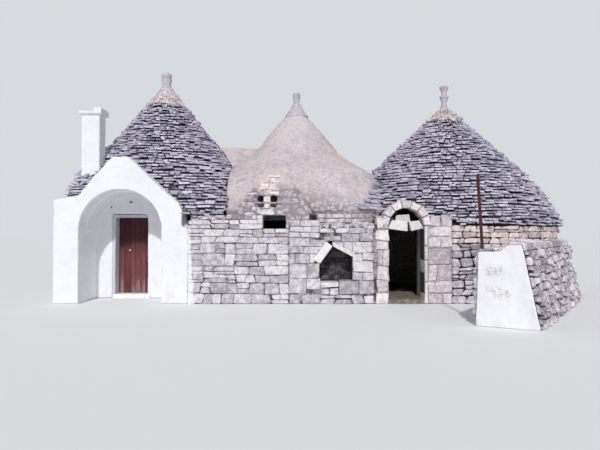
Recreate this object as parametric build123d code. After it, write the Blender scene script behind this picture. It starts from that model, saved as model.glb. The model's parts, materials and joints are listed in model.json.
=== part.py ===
"""A trullo house: three dry-stone cones on thick walls, with a whitewashed porch
and plank door, an open arched doorway, a small gable and a yard wall.

Millimetres, +Z up. The origin is on the ground under the axis of the middle
cone. +X runs along the front to the right, and the front faces -Y.
"""

import os
from math import cos, copysign, pi, sin

from build123d import *

# Levels above the ground
FLOOR = 100
THRESHOLD_TOP = 110
WALL_TOP = 2000

# Planes across the building, front to back
FRONT = -3000
FRONT_WALL = 1000
REAR = 2900
REAR_WALL = 900

# The cone axes stand in one line along the front; the third follows from its doorway
CONE_1_X = -3780
CONE_2_X = 0

# Party wall at the left end
PARTY_OUTER_X = -5790
PARTY_WALL = 600

# Whitewashed porch: a round arch under a parapet, with a short barrel vault behind
PORCH_WIDTH = 1980
PORCH_SPRING = 1740
PORCH_DEPTH = 1240
PORCH_PIER = 640
GABLE_THICK = 500
VAULT_DROP = 40
VAULT_RING = 250
PARAPET = [
    (-5790, 2480),
    (-5190, 2590),
    (-4830, 3060),
    (-4660, 3210),
    (-4400, 3520),
    (-4020, 3520),
    (-3640, 3160),
    (-3140, 2690),
    (-2800, 2400),
    (-2700, 2190),
]

# Open nook at the porch's right shoulder, under the eave
NOOK_LEFT_X = -2720
NOOK_WIDTH = 310
NOOK_BASE = 1830
NOOK_TOP = 2160
NOOK_DEPTH = 320

# Chimney over the party wall
CHIMNEY_SIDE = 460
CHIMNEY_X = -5230
CHIMNEY_Y = -1880
CHIMNEY_BASE = 2750
CHIMNEY_TOP = 4720
CHIMNEY_CAP = 75
CHIMNEY_CAP_REACH = 60
CHIMNEY_TILE_WIDTH = 190
CHIMNEY_TILE = 80

# Plank door, hung at its right and opening inwards
DOOR_WIDTH = 820
DOOR_HEIGHT = 1970
DOOR_THICK = 32
DOOR_GAP = 6
DOOR_X = -4275
DOOR_WALL = 500
DOOR_SET_BACK = 330
FRAME_WIDTH = 70
FRAME_DEPTH = 90
KNOB_RADIUS = 26
KNOB_REACH = 45
KNOB_FROM_EDGE = 295
KNOB_Z = 1240

# Iron strap hinges behind the door, each turning on a pin fixed to the frame
PIN_RADIUS = 7
PIN_CLEARANCE = 0.3
EYE_RADIUS = 12
STRAP_LENGTH = 380
STRAP_HEIGHT = 45
STRAP_THICK = 5
PIN_PLATE = 60
PIN_PLATE_HEIGHT = 25
LOW_HINGE_Z = 450
HIGH_HINGE_Z = 1750

# Middle front wall, lower to the right, where a ledge lies before the cone's foot
NICHE_WALL_TOP = 1810
MIDDLE_RIGHT_X = 1890

# Pointed niche under two leaning head stones
NICHE_LEFT_X = 570
NICHE_RIGHT_X = 1350
NICHE_APEX_X = 870
NICHE_SILL = 520
NICHE_LEFT_SPRING = 970
NICHE_RIGHT_SPRING = 1150
NICHE_APEX = 1380
NICHE_DEPTH = 500
SILL_SLAB = 110
SILL_BLOCK_X = 1030
SILL_BLOCK = 340
SILL_STEP = 40
SILL_BEARING = 150
LEFT_HEAD_STONE = 190
RIGHT_HEAD_STONE = 120
HEAD_STONE_DEPTH = 300

# Small gable over the eave, with two vents over two shallow panels, and a window
GABLET_THICK = 500
GABLET = [
    (-1380, 2330),
    (-1120, 2640),
    (-910, 3000),
    (-720, 3130),
    (-260, 3130),
    (190, 2600),
    (390, 2180),
]
VENT = 150
LEFT_VENT_X = -910
RIGHT_VENT_X = -600
VENT_BASE = 2430
PANEL_DEPTH = 120
PANEL_HEIGHT = 80
LEDGE = 45
LEDGE_REACH = 60
LEDGE_OVERLAP = 90
WINDOW_LEFT_X = -780
WINDOW_WIDTH = 540
WINDOW_SILL = 1790
WINDOW_TOP = 2110

# Rooms and the way between the second and the third
SHARED_WALL_1 = 1120
SHARED_WALL_2 = 860
PASSAGE_WIDTH = 800
PASSAGE_HEIGHT = 1750

# Round drum of the third room, with an open doorway in a straight block of wall
DRUM_RADIUS = 3000
DRUM_WALL = 920
DRUM_SPLIT = 900
ROOM_CORNER = 1000
DOORWAY_LEFT_X = 2210
DOORWAY_WIDTH = 860
DOORWAY_SPRING = 1870
DOORWAY_PIER = 650
BLOCK_THICK = 550
BLOCK_TOP = 2100
VOUSSOIR = 160
VOUSSOIRS = 7
JOINT_WIDTH = 14
JOINT_DEPTH = 60

# Broken lintel: two stones that sag to the wedge-shaped crack between them
BROKEN_SET_BACK = 40
BROKEN_DEPTH = 260
BROKEN_BEARING = 60
BROKEN_SHOULDER = 115
BROKEN_CRACK_X = 2680
CRACK_TOP = 30
CRACK_BASE = 84
BROKEN_END_TOP = 1990
BROKEN_MID_TOP = 1960
BROKEN_END_BASE = 1785
BROKEN_MID_BASE = 1730
LOOSE_BLOCK_X = 2400
LOOSE_BLOCK_WIDTH = 380
LOOSE_BLOCK_DEPTH = 150
LOOSE_BLOCK_TOP = 2140

# Roof forms, from the eave up: half side, squareness (2 is a circle), height
CONE_1_LEVELS = [
    (3050, 4.0, 2000),
    (2740, 3.4, 2610),
    (2370, 2.8, 3200),
    (1890, 2.3, 3750),
    (1390, 2.0, 4350),
    (740, 2.0, 5170),
    (280, 2.0, 5720),
]
CONE_2_LEVELS = [
    (2590, 3.6, 1810),
    (2590, 3.6, 2170),
    (2660, 3.6, 2220),
    (2480, 3.2, 2800),
    (2130, 2.8, 3320),
    (1640, 2.3, 3640),
    (1230, 2.0, 3970),
    (800, 2.0, 4530),
    (340, 2.0, 5070),
    (150, 2.0, 5340),
]
CIRCLE = 2
CONE_SIDES = 40
HOLLOW_SIDES = 20
EAVE_OVERHANG = 130
CONE_3_SHOULDER_RADIUS = 2040
CONE_3_SHOULDER = 3500
CONE_3_TOP_RADIUS = 150
CONE_3_TOP = 5270
EAVE_BANDS = 4

# Corbelled space inside each cone
HOLLOW_1_RADIUS = 1200
HOLLOW_1_TOP = 4700
HOLLOW_2_RADIUS = 1350
HOLLOW_2_TOP = 4400
HOLLOW_3_TOP = 4500
HOLLOW_CROWN = 250
CORBEL_LEDGE = 130

# Mortared caps and the plastered saddle in the first valley
CAP_1_HEIGHT = 390
CAP_2_HEIGHT = 270
CAP_3_HEIGHT = 370
VALLEY_X = -1780
SADDLE_TOP = 4180
SADDLE_LEFT_X = -2450
SADDLE_RIGHT_X = -900
SADDLE_REACH = 2500
SADDLE_FOOT = 2300

# Pinnacles: radius and height above the cone, from the foot up
PINNACLE_1 = [(270, 0), (120, 240), (150, 500), (75, 645)]
PINNACLE_2 = [(140, 0), (85, 170), (112, 445)]
PINNACLE_3 = [(150, 0), (75, 195), (138, 375), (87, 405), (87, 540), (130, 630), (130, 697)]

# Yard wall, running back to the drum from an end that lies a little left of the third cone's axis
YARD_CORNER_LEFT = 90
YARD_CORNER_Y = -6940
YARD_ANGLE = 58.3
YARD_LENGTH = 5600
YARD_SECTION = [(0, 0), (300, 1470), (540, 1460), (660, 1360), (1050, 1340), (1100, 0)]
END_FACE = 60
POST_RADIUS = 28
POST_TOP = 2750
POST_LEAN = 3.4
POST_SOCKET = 500
POST_BACK = 150
POST_Y = 985

# Worked out from the sizes above
PARTY_FACE_X = PARTY_OUTER_X + PARTY_WALL
PORCH_RADIUS = PORCH_WIDTH / 2
PORCH_X = PARTY_FACE_X + PORCH_RADIUS
PORCH_RIGHT_X = PARTY_FACE_X + PORCH_WIDTH
GABLE_RIGHT_X = PORCH_RIGHT_X + PORCH_PIER
GABLE_BACK = FRONT + GABLE_THICK
PORCH_BACK = FRONT + PORCH_DEPTH
DOOR_WALL_BACK = PORCH_BACK + DOOR_WALL
ROOM_FRONT = FRONT + FRONT_WALL
ROOM_BACK = REAR - REAR_WALL
ROOM_2_LEFT_X = GABLE_RIGHT_X + SHARED_WALL_1
ROOM_2_RIGHT_X = DOORWAY_LEFT_X - SHARED_WALL_2
OPENING_LEFT_X = DOOR_X - DOOR_WIDTH / 2 - DOOR_GAP - FRAME_WIDTH
OPENING_RIGHT_X = DOOR_X + DOOR_WIDTH / 2 + DOOR_GAP + FRAME_WIDTH
OPENING_TOP = THRESHOLD_TOP + DOOR_GAP + DOOR_HEIGHT + DOOR_GAP + FRAME_WIDTH
DOOR_HEAD_TOP = PORCH_SPRING + PORCH_RADIUS
DOOR_FACE = PORCH_BACK + DOOR_SET_BACK
DOOR_BACK = DOOR_FACE + DOOR_THICK
DOOR_RIGHT_X = DOOR_X + DOOR_WIDTH / 2
FRAME_FRONT = DOOR_BACK - FRAME_DEPTH
HINGE_X = DOOR_RIGHT_X + DOOR_GAP / 2
HINGE_Y = DOOR_BACK + EYE_RADIUS
GABLET_BACK = FRONT + GABLET_THICK
DOORWAY_RIGHT_X = DOORWAY_LEFT_X + DOORWAY_WIDTH
DOORWAY_X = DOORWAY_LEFT_X + DOORWAY_WIDTH / 2
DOORWAY_RADIUS = DOORWAY_WIDTH / 2
BLOCK_RIGHT_X = DOORWAY_RIGHT_X + DOORWAY_PIER
BLOCK_BACK = FRONT + BLOCK_THICK
ROOM_3_HALF = DRUM_RADIUS - DRUM_WALL
CONE_3_X = DOORWAY_LEFT_X + ROOM_3_HALF
HOLLOW_3_RADIUS = ROOM_3_HALF - CORBEL_LEDGE
DRUM_RIGHT_X = CONE_3_X + DRUM_RADIUS
YARD_CORNER_X = CONE_3_X - YARD_CORNER_LEFT
EAVE_3 = DRUM_RADIUS + EAVE_OVERHANG
CONE_1_TOP = CONE_1_LEVELS[-1][2]
CONE_2_TOP = CONE_2_LEVELS[-1][2]
CAP_1_BASE = CONE_1_TOP - CAP_1_HEIGHT
CAP_2_BASE = CONE_2_TOP - CAP_2_HEIGHT
CAP_3_BASE = CONE_3_TOP - CAP_3_HEIGHT
YARD_TOP = max(height for across, height in YARD_SECTION)
REACH = 2 * (PARTY_WALL - PARTY_OUTER_X)


def block(x0, x1, y0, y1, z0, z1):
    """A squared block between two opposite corners."""
    middle = Pos((x0 + x1) / 2, (y0 + y1) / 2, (z0 + z1) / 2)
    return middle * Box(x1 - x0, y1 - y0, z1 - z0)


def upright(points, y0, y1):
    """A plate with its outline in x and z, from plane y0 back to plane y1."""
    outline = Plane.XZ.offset(-y1) * make_face(Polyline(*points, close=True))
    return extrude(outline, amount=y1 - y0)


def barrel(x, radius, spring, y0, y1):
    """A level half-round vault form standing on its springing line."""
    round_bar = Pos(x, (y0 + y1) / 2, spring) * Rot(90, 0, 0) * Cylinder(radius, y1 - y0)
    return round_bar & block(x - radius, x + radius, y0, y1, spring, spring + radius)


def between(form, z0, z1):
    """The part of a form between two heights."""
    return form & block(-REACH, REACH, -REACH, REACH, z0, z1)


# Whitewashed porch
def parapet_outline():
    """The porch front above its arch's springing line."""
    return [(PARTY_OUTER_X, PORCH_SPRING)] + PARAPET + [(GABLE_RIGHT_X, PORCH_SPRING)]


def eave_nook():
    right = NOOK_LEFT_X + NOOK_WIDTH
    return block(NOOK_LEFT_X, right, FRONT * 2, FRONT + NOOK_DEPTH, NOOK_BASE, NOOK_TOP)


def gable_arch():
    wall = upright(parapet_outline(), FRONT, GABLE_BACK)
    return wall - barrel(PORCH_X, PORCH_RADIUS, PORCH_SPRING, FRONT, GABLE_BACK) - eave_nook()


def vault_outside():
    return barrel(PORCH_X, PORCH_RADIUS + VAULT_RING, PORCH_SPRING, GABLE_BACK, PORCH_BACK)


def porch_vault():
    inside = PORCH_RADIUS - VAULT_DROP
    return vault_outside() - barrel(PORCH_X, inside, PORCH_SPRING, GABLE_BACK, PORCH_BACK)


def porch_pier():
    front = block(PORCH_RIGHT_X, GABLE_RIGHT_X, FRONT, GABLE_BACK, 0, PORCH_SPRING)
    rear = block(PORCH_RIGHT_X, GABLE_RIGHT_X, GABLE_BACK, DOOR_WALL_BACK, 0, WALL_TOP)
    return front + rear - vault_outside()


def party_wall():
    front = block(PARTY_OUTER_X, PARTY_FACE_X, FRONT, GABLE_BACK, 0, PORCH_SPRING)
    rear = block(PARTY_OUTER_X, PARTY_FACE_X, GABLE_BACK, REAR, 0, WALL_TOP)
    return front + rear - vault_outside()


# The door and the wall that it hangs in
def door_wall_left():
    return block(PARTY_FACE_X, OPENING_LEFT_X, PORCH_BACK, DOOR_WALL_BACK, 0, OPENING_TOP)


def plaster_return():
    """Plaster carried over the frame's right post, up to the edge of the leaf."""
    left = DOOR_RIGHT_X + DOOR_GAP
    return block(left, OPENING_RIGHT_X, PORCH_BACK, FRAME_FRONT, THRESHOLD_TOP, OPENING_TOP)


def door_wall_right():
    wall = block(OPENING_RIGHT_X, PORCH_RIGHT_X, PORCH_BACK, DOOR_WALL_BACK, 0, OPENING_TOP)
    return wall + plaster_return()


def door_head():
    return block(PARTY_FACE_X, PORCH_RIGHT_X, PORCH_BACK, DOOR_WALL_BACK, OPENING_TOP, DOOR_HEAD_TOP)


def door_threshold():
    return block(OPENING_LEFT_X, OPENING_RIGHT_X, PORCH_BACK, DOOR_WALL_BACK, 0, THRESHOLD_TOP)


def door_frame():
    """The left post and the head line the whole reveal; the right post is short."""
    whole = block(OPENING_LEFT_X, OPENING_RIGHT_X, PORCH_BACK, DOOR_BACK, THRESHOLD_TOP, OPENING_TOP)
    left = OPENING_LEFT_X + FRAME_WIDTH
    right = OPENING_RIGHT_X - FRAME_WIDTH
    whole -= block(left, right, PORCH_BACK, DOOR_BACK, THRESHOLD_TOP, OPENING_TOP - FRAME_WIDTH)
    return whole - plaster_return()


def door_leaf():
    base = THRESHOLD_TOP + DOOR_GAP
    return block(DOOR_RIGHT_X - DOOR_WIDTH, DOOR_RIGHT_X, DOOR_FACE, DOOR_BACK, base, base + DOOR_HEIGHT)


def door_knob():
    """A turned knob: a thin stem that swells to a round head."""
    x = DOOR_RIGHT_X - DOOR_WIDTH + KNOB_FROM_EDGE
    stem = Pos(x, DOOR_FACE - KNOB_REACH / 2, KNOB_Z) * Rot(90, 0, 0) * Cylinder(KNOB_RADIUS / 2, KNOB_REACH)
    return stem + Pos(x, DOOR_FACE - KNOB_REACH, KNOB_Z) * Rot(90, 0, 0) * Cylinder(KNOB_RADIUS, KNOB_RADIUS)


def strap_hinge(z):
    """A strap on the back of the leaf that ends in an eye on the hinge axis."""
    left = DOOR_RIGHT_X - STRAP_LENGTH
    strap = block(left, HINGE_X, DOOR_BACK, DOOR_BACK + STRAP_THICK, z, z + STRAP_HEIGHT)
    middle = Pos(HINGE_X, HINGE_Y, z + STRAP_HEIGHT / 2)
    eye = middle * Cylinder(EYE_RADIUS, STRAP_HEIGHT)
    return strap + eye - middle * Cylinder(PIN_RADIUS + PIN_CLEARANCE, STRAP_HEIGHT)


def hinge_pin(z):
    """A pin up through a strap's eye, from a plate fixed to the back of the frame."""
    top = z + STRAP_HEIGHT
    plate_top = z - PIN_CLEARANCE
    base = plate_top - PIN_PLATE_HEIGHT
    pin = Pos(HINGE_X, HINGE_Y, (base + top) / 2) * Cylinder(PIN_RADIUS, top - base)
    return pin + block(HINGE_X, HINGE_X + PIN_PLATE, DOOR_BACK, HINGE_Y, base, plate_top)


def strap_hinges():
    return strap_hinge(LOW_HINGE_Z) + strap_hinge(HIGH_HINGE_Z)


def hinge_pins():
    return hinge_pin(LOW_HINGE_Z) + hinge_pin(HIGH_HINGE_Z)


# Middle front wall
def window_shaft():
    right = WINDOW_LEFT_X + WINDOW_WIDTH
    return block(WINDOW_LEFT_X, right, FRONT, ROOM_FRONT, WINDOW_SILL, WINDOW_TOP)


def middle_front_wall():
    wall = block(GABLE_RIGHT_X, NICHE_LEFT_X, FRONT, ROOM_FRONT, 0, WALL_TOP)
    return wall - window_shaft() - niche_head() - eave_nook()


def niche_opening():
    """The pointed recess above its sill."""
    outline = [
        (NICHE_LEFT_X, NICHE_SILL),
        (NICHE_LEFT_X, NICHE_LEFT_SPRING),
        (NICHE_APEX_X, NICHE_APEX),
        (NICHE_RIGHT_X, NICHE_RIGHT_SPRING),
        (NICHE_RIGHT_X, NICHE_SILL),
    ]
    return upright(outline, FRONT, FRONT + NICHE_DEPTH)


def niche_sill():
    """A thin slab at the left and a deep block, a little higher, at the right."""
    back = FRONT + NICHE_DEPTH
    right = NICHE_RIGHT_X + SILL_BEARING
    block_top = NICHE_SILL + SILL_STEP
    slab = block(NICHE_LEFT_X, SILL_BLOCK_X, FRONT, back, NICHE_SILL - SILL_SLAB, NICHE_SILL)
    return slab + block(SILL_BLOCK_X, right, FRONT, back, block_top - SILL_BLOCK, block_top)


def leaning_stone(foot_x, outer_x, spring, thick):
    """A slab that leans from one side of the niche to its apex."""
    outline = [
        (foot_x, spring),
        (NICHE_APEX_X, NICHE_APEX),
        (NICHE_APEX_X, NICHE_APEX + thick),
        (outer_x, spring + thick / 2),
        (outer_x, spring),
    ]
    return upright(outline, FRONT, FRONT + HEAD_STONE_DEPTH)


def niche_head():
    """Two slabs that lean together over the niche."""
    left_end = NICHE_LEFT_X - LEFT_HEAD_STONE
    right_end = NICHE_RIGHT_X + RIGHT_HEAD_STONE
    left = leaning_stone(NICHE_LEFT_X, left_end, NICHE_LEFT_SPRING, LEFT_HEAD_STONE)
    return left + leaning_stone(NICHE_RIGHT_X, right_end, NICHE_RIGHT_SPRING, RIGHT_HEAD_STONE)


def niche_wall():
    wall = block(NICHE_LEFT_X, MIDDLE_RIGHT_X, FRONT, ROOM_FRONT, 0, NICHE_WALL_TOP)
    return wall - niche_opening() - niche_sill() - niche_head()


def gablet_outline():
    left = GABLET[0][0]
    right = GABLET[-1][0]
    return [(left, WALL_TOP)] + GABLET + [(right, WALL_TOP)]


def gablet_ledges():
    """Two thin slabs that stand out over and under the vents."""
    left = LEFT_VENT_X - LEDGE_OVERLAP
    right = RIGHT_VENT_X + VENT + LEDGE_OVERLAP
    upper = block(left, right, FRONT - LEDGE_REACH, FRONT, VENT_BASE + VENT, VENT_BASE + VENT + LEDGE)
    return upper + block(left, right, FRONT - LEDGE_REACH, FRONT, VENT_BASE - LEDGE, VENT_BASE)


def gablet_front():
    wall = upright(gablet_outline(), FRONT, GABLET_BACK)
    panel_top = VENT_BASE - LEDGE
    for x in (LEFT_VENT_X, RIGHT_VENT_X):
        wall -= block(x, x + VENT, FRONT, GABLET_BACK, VENT_BASE, VENT_BASE + VENT)
        wall -= block(x, x + VENT, FRONT, FRONT + PANEL_DEPTH, panel_top - PANEL_HEIGHT, panel_top)
    return wall + gablet_ledges() - window_shaft()


def gablet_roof():
    """The gable's short roof, running back into the cone."""
    return upright(gablet_outline(), GABLET_BACK, ROOM_FRONT) - cone_2_form() - window_shaft()


# Shared and rear walls, and the floors
def shared_wall_1():
    return block(GABLE_RIGHT_X, ROOM_2_LEFT_X, ROOM_FRONT, ROOM_BACK, 0, WALL_TOP)


def shared_wall_2_front():
    return block(ROOM_2_RIGHT_X, DOORWAY_LEFT_X, ROOM_FRONT, -PASSAGE_WIDTH / 2, 0, WALL_TOP)


def shared_wall_2_rear():
    return block(ROOM_2_RIGHT_X, DOORWAY_LEFT_X, PASSAGE_WIDTH / 2, REAR, 0, WALL_TOP)


def passage_lintel():
    half = PASSAGE_WIDTH / 2
    return block(ROOM_2_RIGHT_X, DOORWAY_LEFT_X, -half, half, PASSAGE_HEIGHT, WALL_TOP)


def rear_wall():
    return block(PARTY_FACE_X, ROOM_2_RIGHT_X, ROOM_BACK, REAR, 0, WALL_TOP)


def floor_1():
    return block(PARTY_FACE_X, GABLE_RIGHT_X, DOOR_WALL_BACK, ROOM_BACK, 0, FLOOR)


def floor_2():
    room = block(ROOM_2_LEFT_X, ROOM_2_RIGHT_X, ROOM_FRONT, ROOM_BACK, 0, FLOOR)
    half = PASSAGE_WIDTH / 2
    return room + block(ROOM_2_RIGHT_X, DOORWAY_LEFT_X, -half, half, 0, FLOOR)


def room_3_space(z0, z1):
    """The rounded room and the way in from the front, between two heights."""
    plan = RectangleRounded(2 * ROOM_3_HALF, 2 * ROOM_3_HALF, ROOM_CORNER)
    room = extrude(Pos(CONE_3_X, 0, z0) * plan, amount=z1 - z0)
    return room + block(DOORWAY_LEFT_X, DOORWAY_RIGHT_X, FRONT, 0, z0, z1)


def floor_3():
    return room_3_space(0, FLOOR)


# Round drum, and the block of wall with the arched doorway
def drum_part(x0, y0, y1):
    """The part of the round wall right of x0 and between two planes."""
    round_wall = Pos(CONE_3_X, 0, WALL_TOP / 2) * Cylinder(DRUM_RADIUS, WALL_TOP)
    zone = block(x0, DRUM_RIGHT_X, y0, y1, 0, WALL_TOP)
    return (round_wall & zone) - room_3_space(0, WALL_TOP)


def drum_front():
    return drum_part(BLOCK_RIGHT_X, -DRUM_RADIUS, -DRUM_SPLIT)


def drum_flank():
    return drum_part(CONE_3_X, -DRUM_SPLIT, DRUM_SPLIT)


def drum_rear():
    return drum_part(DOORWAY_LEFT_X, DRUM_SPLIT, DRUM_RADIUS)


def doorway_left_pier():
    pier = block(MIDDLE_RIGHT_X, DOORWAY_LEFT_X, FRONT, ROOM_FRONT, 0, DOORWAY_SPRING)
    return pier - broken_lintel()


def doorway_right_pier():
    pier = block(DOORWAY_RIGHT_X, BLOCK_RIGHT_X, FRONT, ROOM_FRONT, 0, DOORWAY_SPRING)
    return pier - room_3_space(0, WALL_TOP) - broken_lintel()


def doorway_barrel(radius, back):
    return barrel(DOORWAY_X, radius, DOORWAY_SPRING, FRONT, back)


def voussoir_arch():
    """A half ring of stones, with an open joint cut into its face between each two."""
    ring = doorway_barrel(DOORWAY_RADIUS + VOUSSOIR, BLOCK_BACK) - doorway_barrel(DOORWAY_RADIUS, BLOCK_BACK)
    reach = DOORWAY_RADIUS + VOUSSOIR
    for count in range(1, VOUSSOIRS):
        joint = Pos(reach / 2, 0, 0) * Box(reach, 2 * JOINT_DEPTH, JOINT_WIDTH)
        turned = Rot(0, -180 * count / VOUSSOIRS, 0) * joint
        ring -= Pos(DOORWAY_X, FRONT, DOORWAY_SPRING) * turned
    return ring - broken_lintel()


def doorway_spandrels():
    """The wall beside the arch, left and right of its ring."""
    wall = block(MIDDLE_RIGHT_X, BLOCK_RIGHT_X, FRONT, BLOCK_BACK, DOORWAY_SPRING, BLOCK_TOP)
    return wall - doorway_barrel(DOORWAY_RADIUS + VOUSSOIR, BLOCK_BACK)


def broken_stone(bearing_x, shoulder_x, crack_top_x, crack_base_x):
    """Half of the lintel, from its bearing down to the crack."""
    outline = [
        (bearing_x, BROKEN_END_BASE),
        (bearing_x, DOORWAY_SPRING),
        (shoulder_x, BROKEN_END_TOP),
        (crack_top_x, BROKEN_MID_TOP),
        (crack_base_x, BROKEN_MID_BASE),
    ]
    front = FRONT + BROKEN_SET_BACK
    return upright(outline, front, front + BROKEN_DEPTH)


def loose_block():
    """A block left lying on the lintel's left half, in the open arch head."""
    back = FRONT + BROKEN_SET_BACK + BROKEN_DEPTH
    right = LOOSE_BLOCK_X + LOOSE_BLOCK_WIDTH
    return block(LOOSE_BLOCK_X, right, back - LOOSE_BLOCK_DEPTH, back, BROKEN_MID_TOP, LOOSE_BLOCK_TOP)


def broken_lintel():
    left_bearing = DOORWAY_LEFT_X - BROKEN_BEARING
    left_shoulder = DOORWAY_LEFT_X + BROKEN_SHOULDER
    left = broken_stone(left_bearing, left_shoulder, BROKEN_CRACK_X, BROKEN_CRACK_X)
    right_bearing = DOORWAY_RIGHT_X + BROKEN_BEARING
    right_shoulder = DOORWAY_RIGHT_X - BROKEN_SHOULDER
    crack_top_x = BROKEN_CRACK_X + CRACK_TOP
    crack_base_x = BROKEN_CRACK_X + CRACK_BASE
    return left + loose_block() + broken_stone(right_bearing, right_shoulder, crack_top_x, crack_base_x)


# Cones
def plan_outline(half, squareness, sides):
    """Points round a plan between a circle and a square with rounded corners."""
    points = []
    for count in range(sides):
        turn = 2 * pi * (count + 0.5) / sides
        across = copysign(abs(cos(turn)) ** (2 / squareness), cos(turn))
        along = copysign(abs(sin(turn)) ** (2 / squareness), sin(turn))
        points.append((half * across, half * along))
    return points


def ring_of(x, sides, half, squareness, height):
    return [(x + across, along, height) for across, along in plan_outline(half, squareness, sides)]


def facet(*corners):
    return Face(Wire.make_polygon(corners, close=True))


def faceted_cone(x, levels, sides=CONE_SIDES):
    """A closed shell of flat facets, squarish over the walls and round higher up."""
    rings = [ring_of(x, sides, *level) for level in levels]
    facets = [facet(*reversed(rings[0])), facet(*rings[-1])]
    for lower, upper in zip(rings, rings[1:]):
        for here in range(sides):
            there = (here + 1) % sides
            facets.append(facet(lower[here], lower[there], upper[there]))
            facets.append(facet(lower[here], upper[there], upper[here]))
    return Solid(Shell(facets))


def cone_1_form():
    return faceted_cone(CONE_1_X, CONE_1_LEVELS)


def cone_2_form():
    return faceted_cone(CONE_2_X, CONE_2_LEVELS)


def cone_3_form():
    """The round cone: a steep eave that bends over to a straight slope."""
    shoulder = (CONE_3_SHOULDER_RADIUS, CONE_3_SHOULDER)
    slope = (CONE_3_SHOULDER_RADIUS - CONE_3_TOP_RADIUS, CONE_3_SHOULDER - CONE_3_TOP)
    bend = TangentArc(shoulder, (EAVE_3, WALL_TOP), tangent=slope)
    bands = [bend @ (count / EAVE_BANDS) for count in range(EAVE_BANDS, -1, -1)]
    levels = [(band.X, CIRCLE, band.Y) for band in bands]
    return faceted_cone(CONE_3_X, levels + [(CONE_3_TOP_RADIUS, CIRCLE, CONE_3_TOP)])


def hollow(x, radius, top):
    """The corbelled space inside a cone."""
    return faceted_cone(x, [(radius, CIRCLE, WALL_TOP), (HOLLOW_CROWN, CIRCLE, top)], HOLLOW_SIDES)


def doorway_block():
    """The room taken by the doorway's piers, spandrels and arch."""
    wall = block(MIDDLE_RIGHT_X, BLOCK_RIGHT_X, FRONT * 2, BLOCK_BACK, 0, BLOCK_TOP)
    piers = block(MIDDLE_RIGHT_X, BLOCK_RIGHT_X, FRONT * 2, ROOM_FRONT, 0, DOORWAY_SPRING)
    return wall + piers + barrel(DOORWAY_X, DOORWAY_RADIUS + VOUSSOIR, DOORWAY_SPRING, FRONT * 2, BLOCK_BACK)


def door_way_in():
    """Head room for the open door, under the foot of the first cone."""
    return block(OPENING_LEFT_X, OPENING_RIGHT_X, DOOR_WALL_BACK, 0, 0, OPENING_TOP)


def roof_cone_1():
    form = cone_1_form() & block(PARTY_OUTER_X, VALLEY_X, -REACH, REACH, WALL_TOP, CAP_1_BASE)
    form -= hollow(CONE_1_X, HOLLOW_1_RADIUS, HOLLOW_1_TOP)
    form -= upright(parapet_outline(), FRONT * 2, GABLE_BACK)
    form -= barrel(PORCH_X, PORCH_RADIUS + VAULT_RING, PORCH_SPRING, FRONT * 2, PORCH_BACK)
    form -= block(PARTY_FACE_X, PORCH_RIGHT_X, PORCH_BACK, DOOR_WALL_BACK, WALL_TOP, DOOR_HEAD_TOP)
    return form - door_way_in() - eave_nook() - chimney_stack()


def plaster_saddle():
    """A plastered ridge over the valley between the first two cones."""
    section = [(-SADDLE_REACH, SADDLE_FOOT), (0, SADDLE_TOP), (SADDLE_REACH, SADDLE_FOOT)]
    ridge = Plane.YZ.offset(SADDLE_LEFT_X) * make_face(Polyline(*section, close=True))
    form = extrude(ridge, amount=SADDLE_RIGHT_X - SADDLE_LEFT_X)
    return form - (cone_1_form() & block(-REACH, VALLEY_X, -REACH, REACH, 0, CONE_1_TOP))


def roof_cone_2():
    """The plastered cone and the saddle that joins it to the first cone."""
    form = cone_2_form() & block(VALLEY_X, CONE_3_X, FRONT, -FRONT, NICHE_WALL_TOP, CAP_2_BASE)
    form += plaster_saddle()
    form -= cone_3_form()
    form -= hollow(CONE_2_X, HOLLOW_2_RADIUS, HOLLOW_2_TOP)
    form -= block(VALLEY_X, NICHE_LEFT_X, FRONT, ROOM_FRONT, NICHE_WALL_TOP, WALL_TOP)
    form -= block(VALLEY_X, CONE_3_X, ROOM_FRONT, -FRONT, NICHE_WALL_TOP, WALL_TOP)
    form -= upright(gablet_outline(), FRONT, GABLET_BACK)
    form -= doorway_block()
    return form - window_shaft()


def roof_cone_3():
    form = between(cone_3_form(), WALL_TOP, CAP_3_BASE)
    form -= hollow(CONE_3_X, HOLLOW_3_RADIUS, HOLLOW_3_TOP)
    return form - doorway_block() - doorway_barrel(DOORWAY_RADIUS, 0)


def pinnacle(x, form, cap_base, cap_top, outline):
    """A mortared cap on a cone, with a turned finial standing on it."""
    points = [(0, 0)] + outline + [(0, outline[-1][1])]
    profile = Plane.XZ * make_face(Polyline(*points, close=True))
    finial = Pos(x, 0, cap_top) * revolve(profile, axis=Axis.Z)
    return between(form, cap_base, cap_top) + finial


def pinnacle_1():
    return pinnacle(CONE_1_X, cone_1_form(), CAP_1_BASE, CONE_1_TOP, PINNACLE_1)


def pinnacle_2():
    return pinnacle(CONE_2_X, cone_2_form(), CAP_2_BASE, CONE_2_TOP, PINNACLE_2)


def pinnacle_3():
    return pinnacle(CONE_3_X, cone_3_form(), CAP_3_BASE, CONE_3_TOP, PINNACLE_3)


# Chimney
def chimney_stack():
    half = CHIMNEY_SIDE / 2
    return block(CHIMNEY_X - half, CHIMNEY_X + half, CHIMNEY_Y - half, CHIMNEY_Y + half,
                 CHIMNEY_BASE, CHIMNEY_TOP)


def chimney_cap():
    """A thin slab with one tile laid on its right end."""
    half = CHIMNEY_SIDE / 2 + CHIMNEY_CAP_REACH
    slab_top = CHIMNEY_TOP + CHIMNEY_CAP
    right = CHIMNEY_X + half
    front = CHIMNEY_Y - half
    slab = block(CHIMNEY_X - half, right, front, CHIMNEY_Y + half, CHIMNEY_TOP, slab_top)
    left = right - CHIMNEY_TILE_WIDTH
    return slab + block(left, right, front, CHIMNEY_Y + half, slab_top, slab_top + CHIMNEY_TILE)


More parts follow.
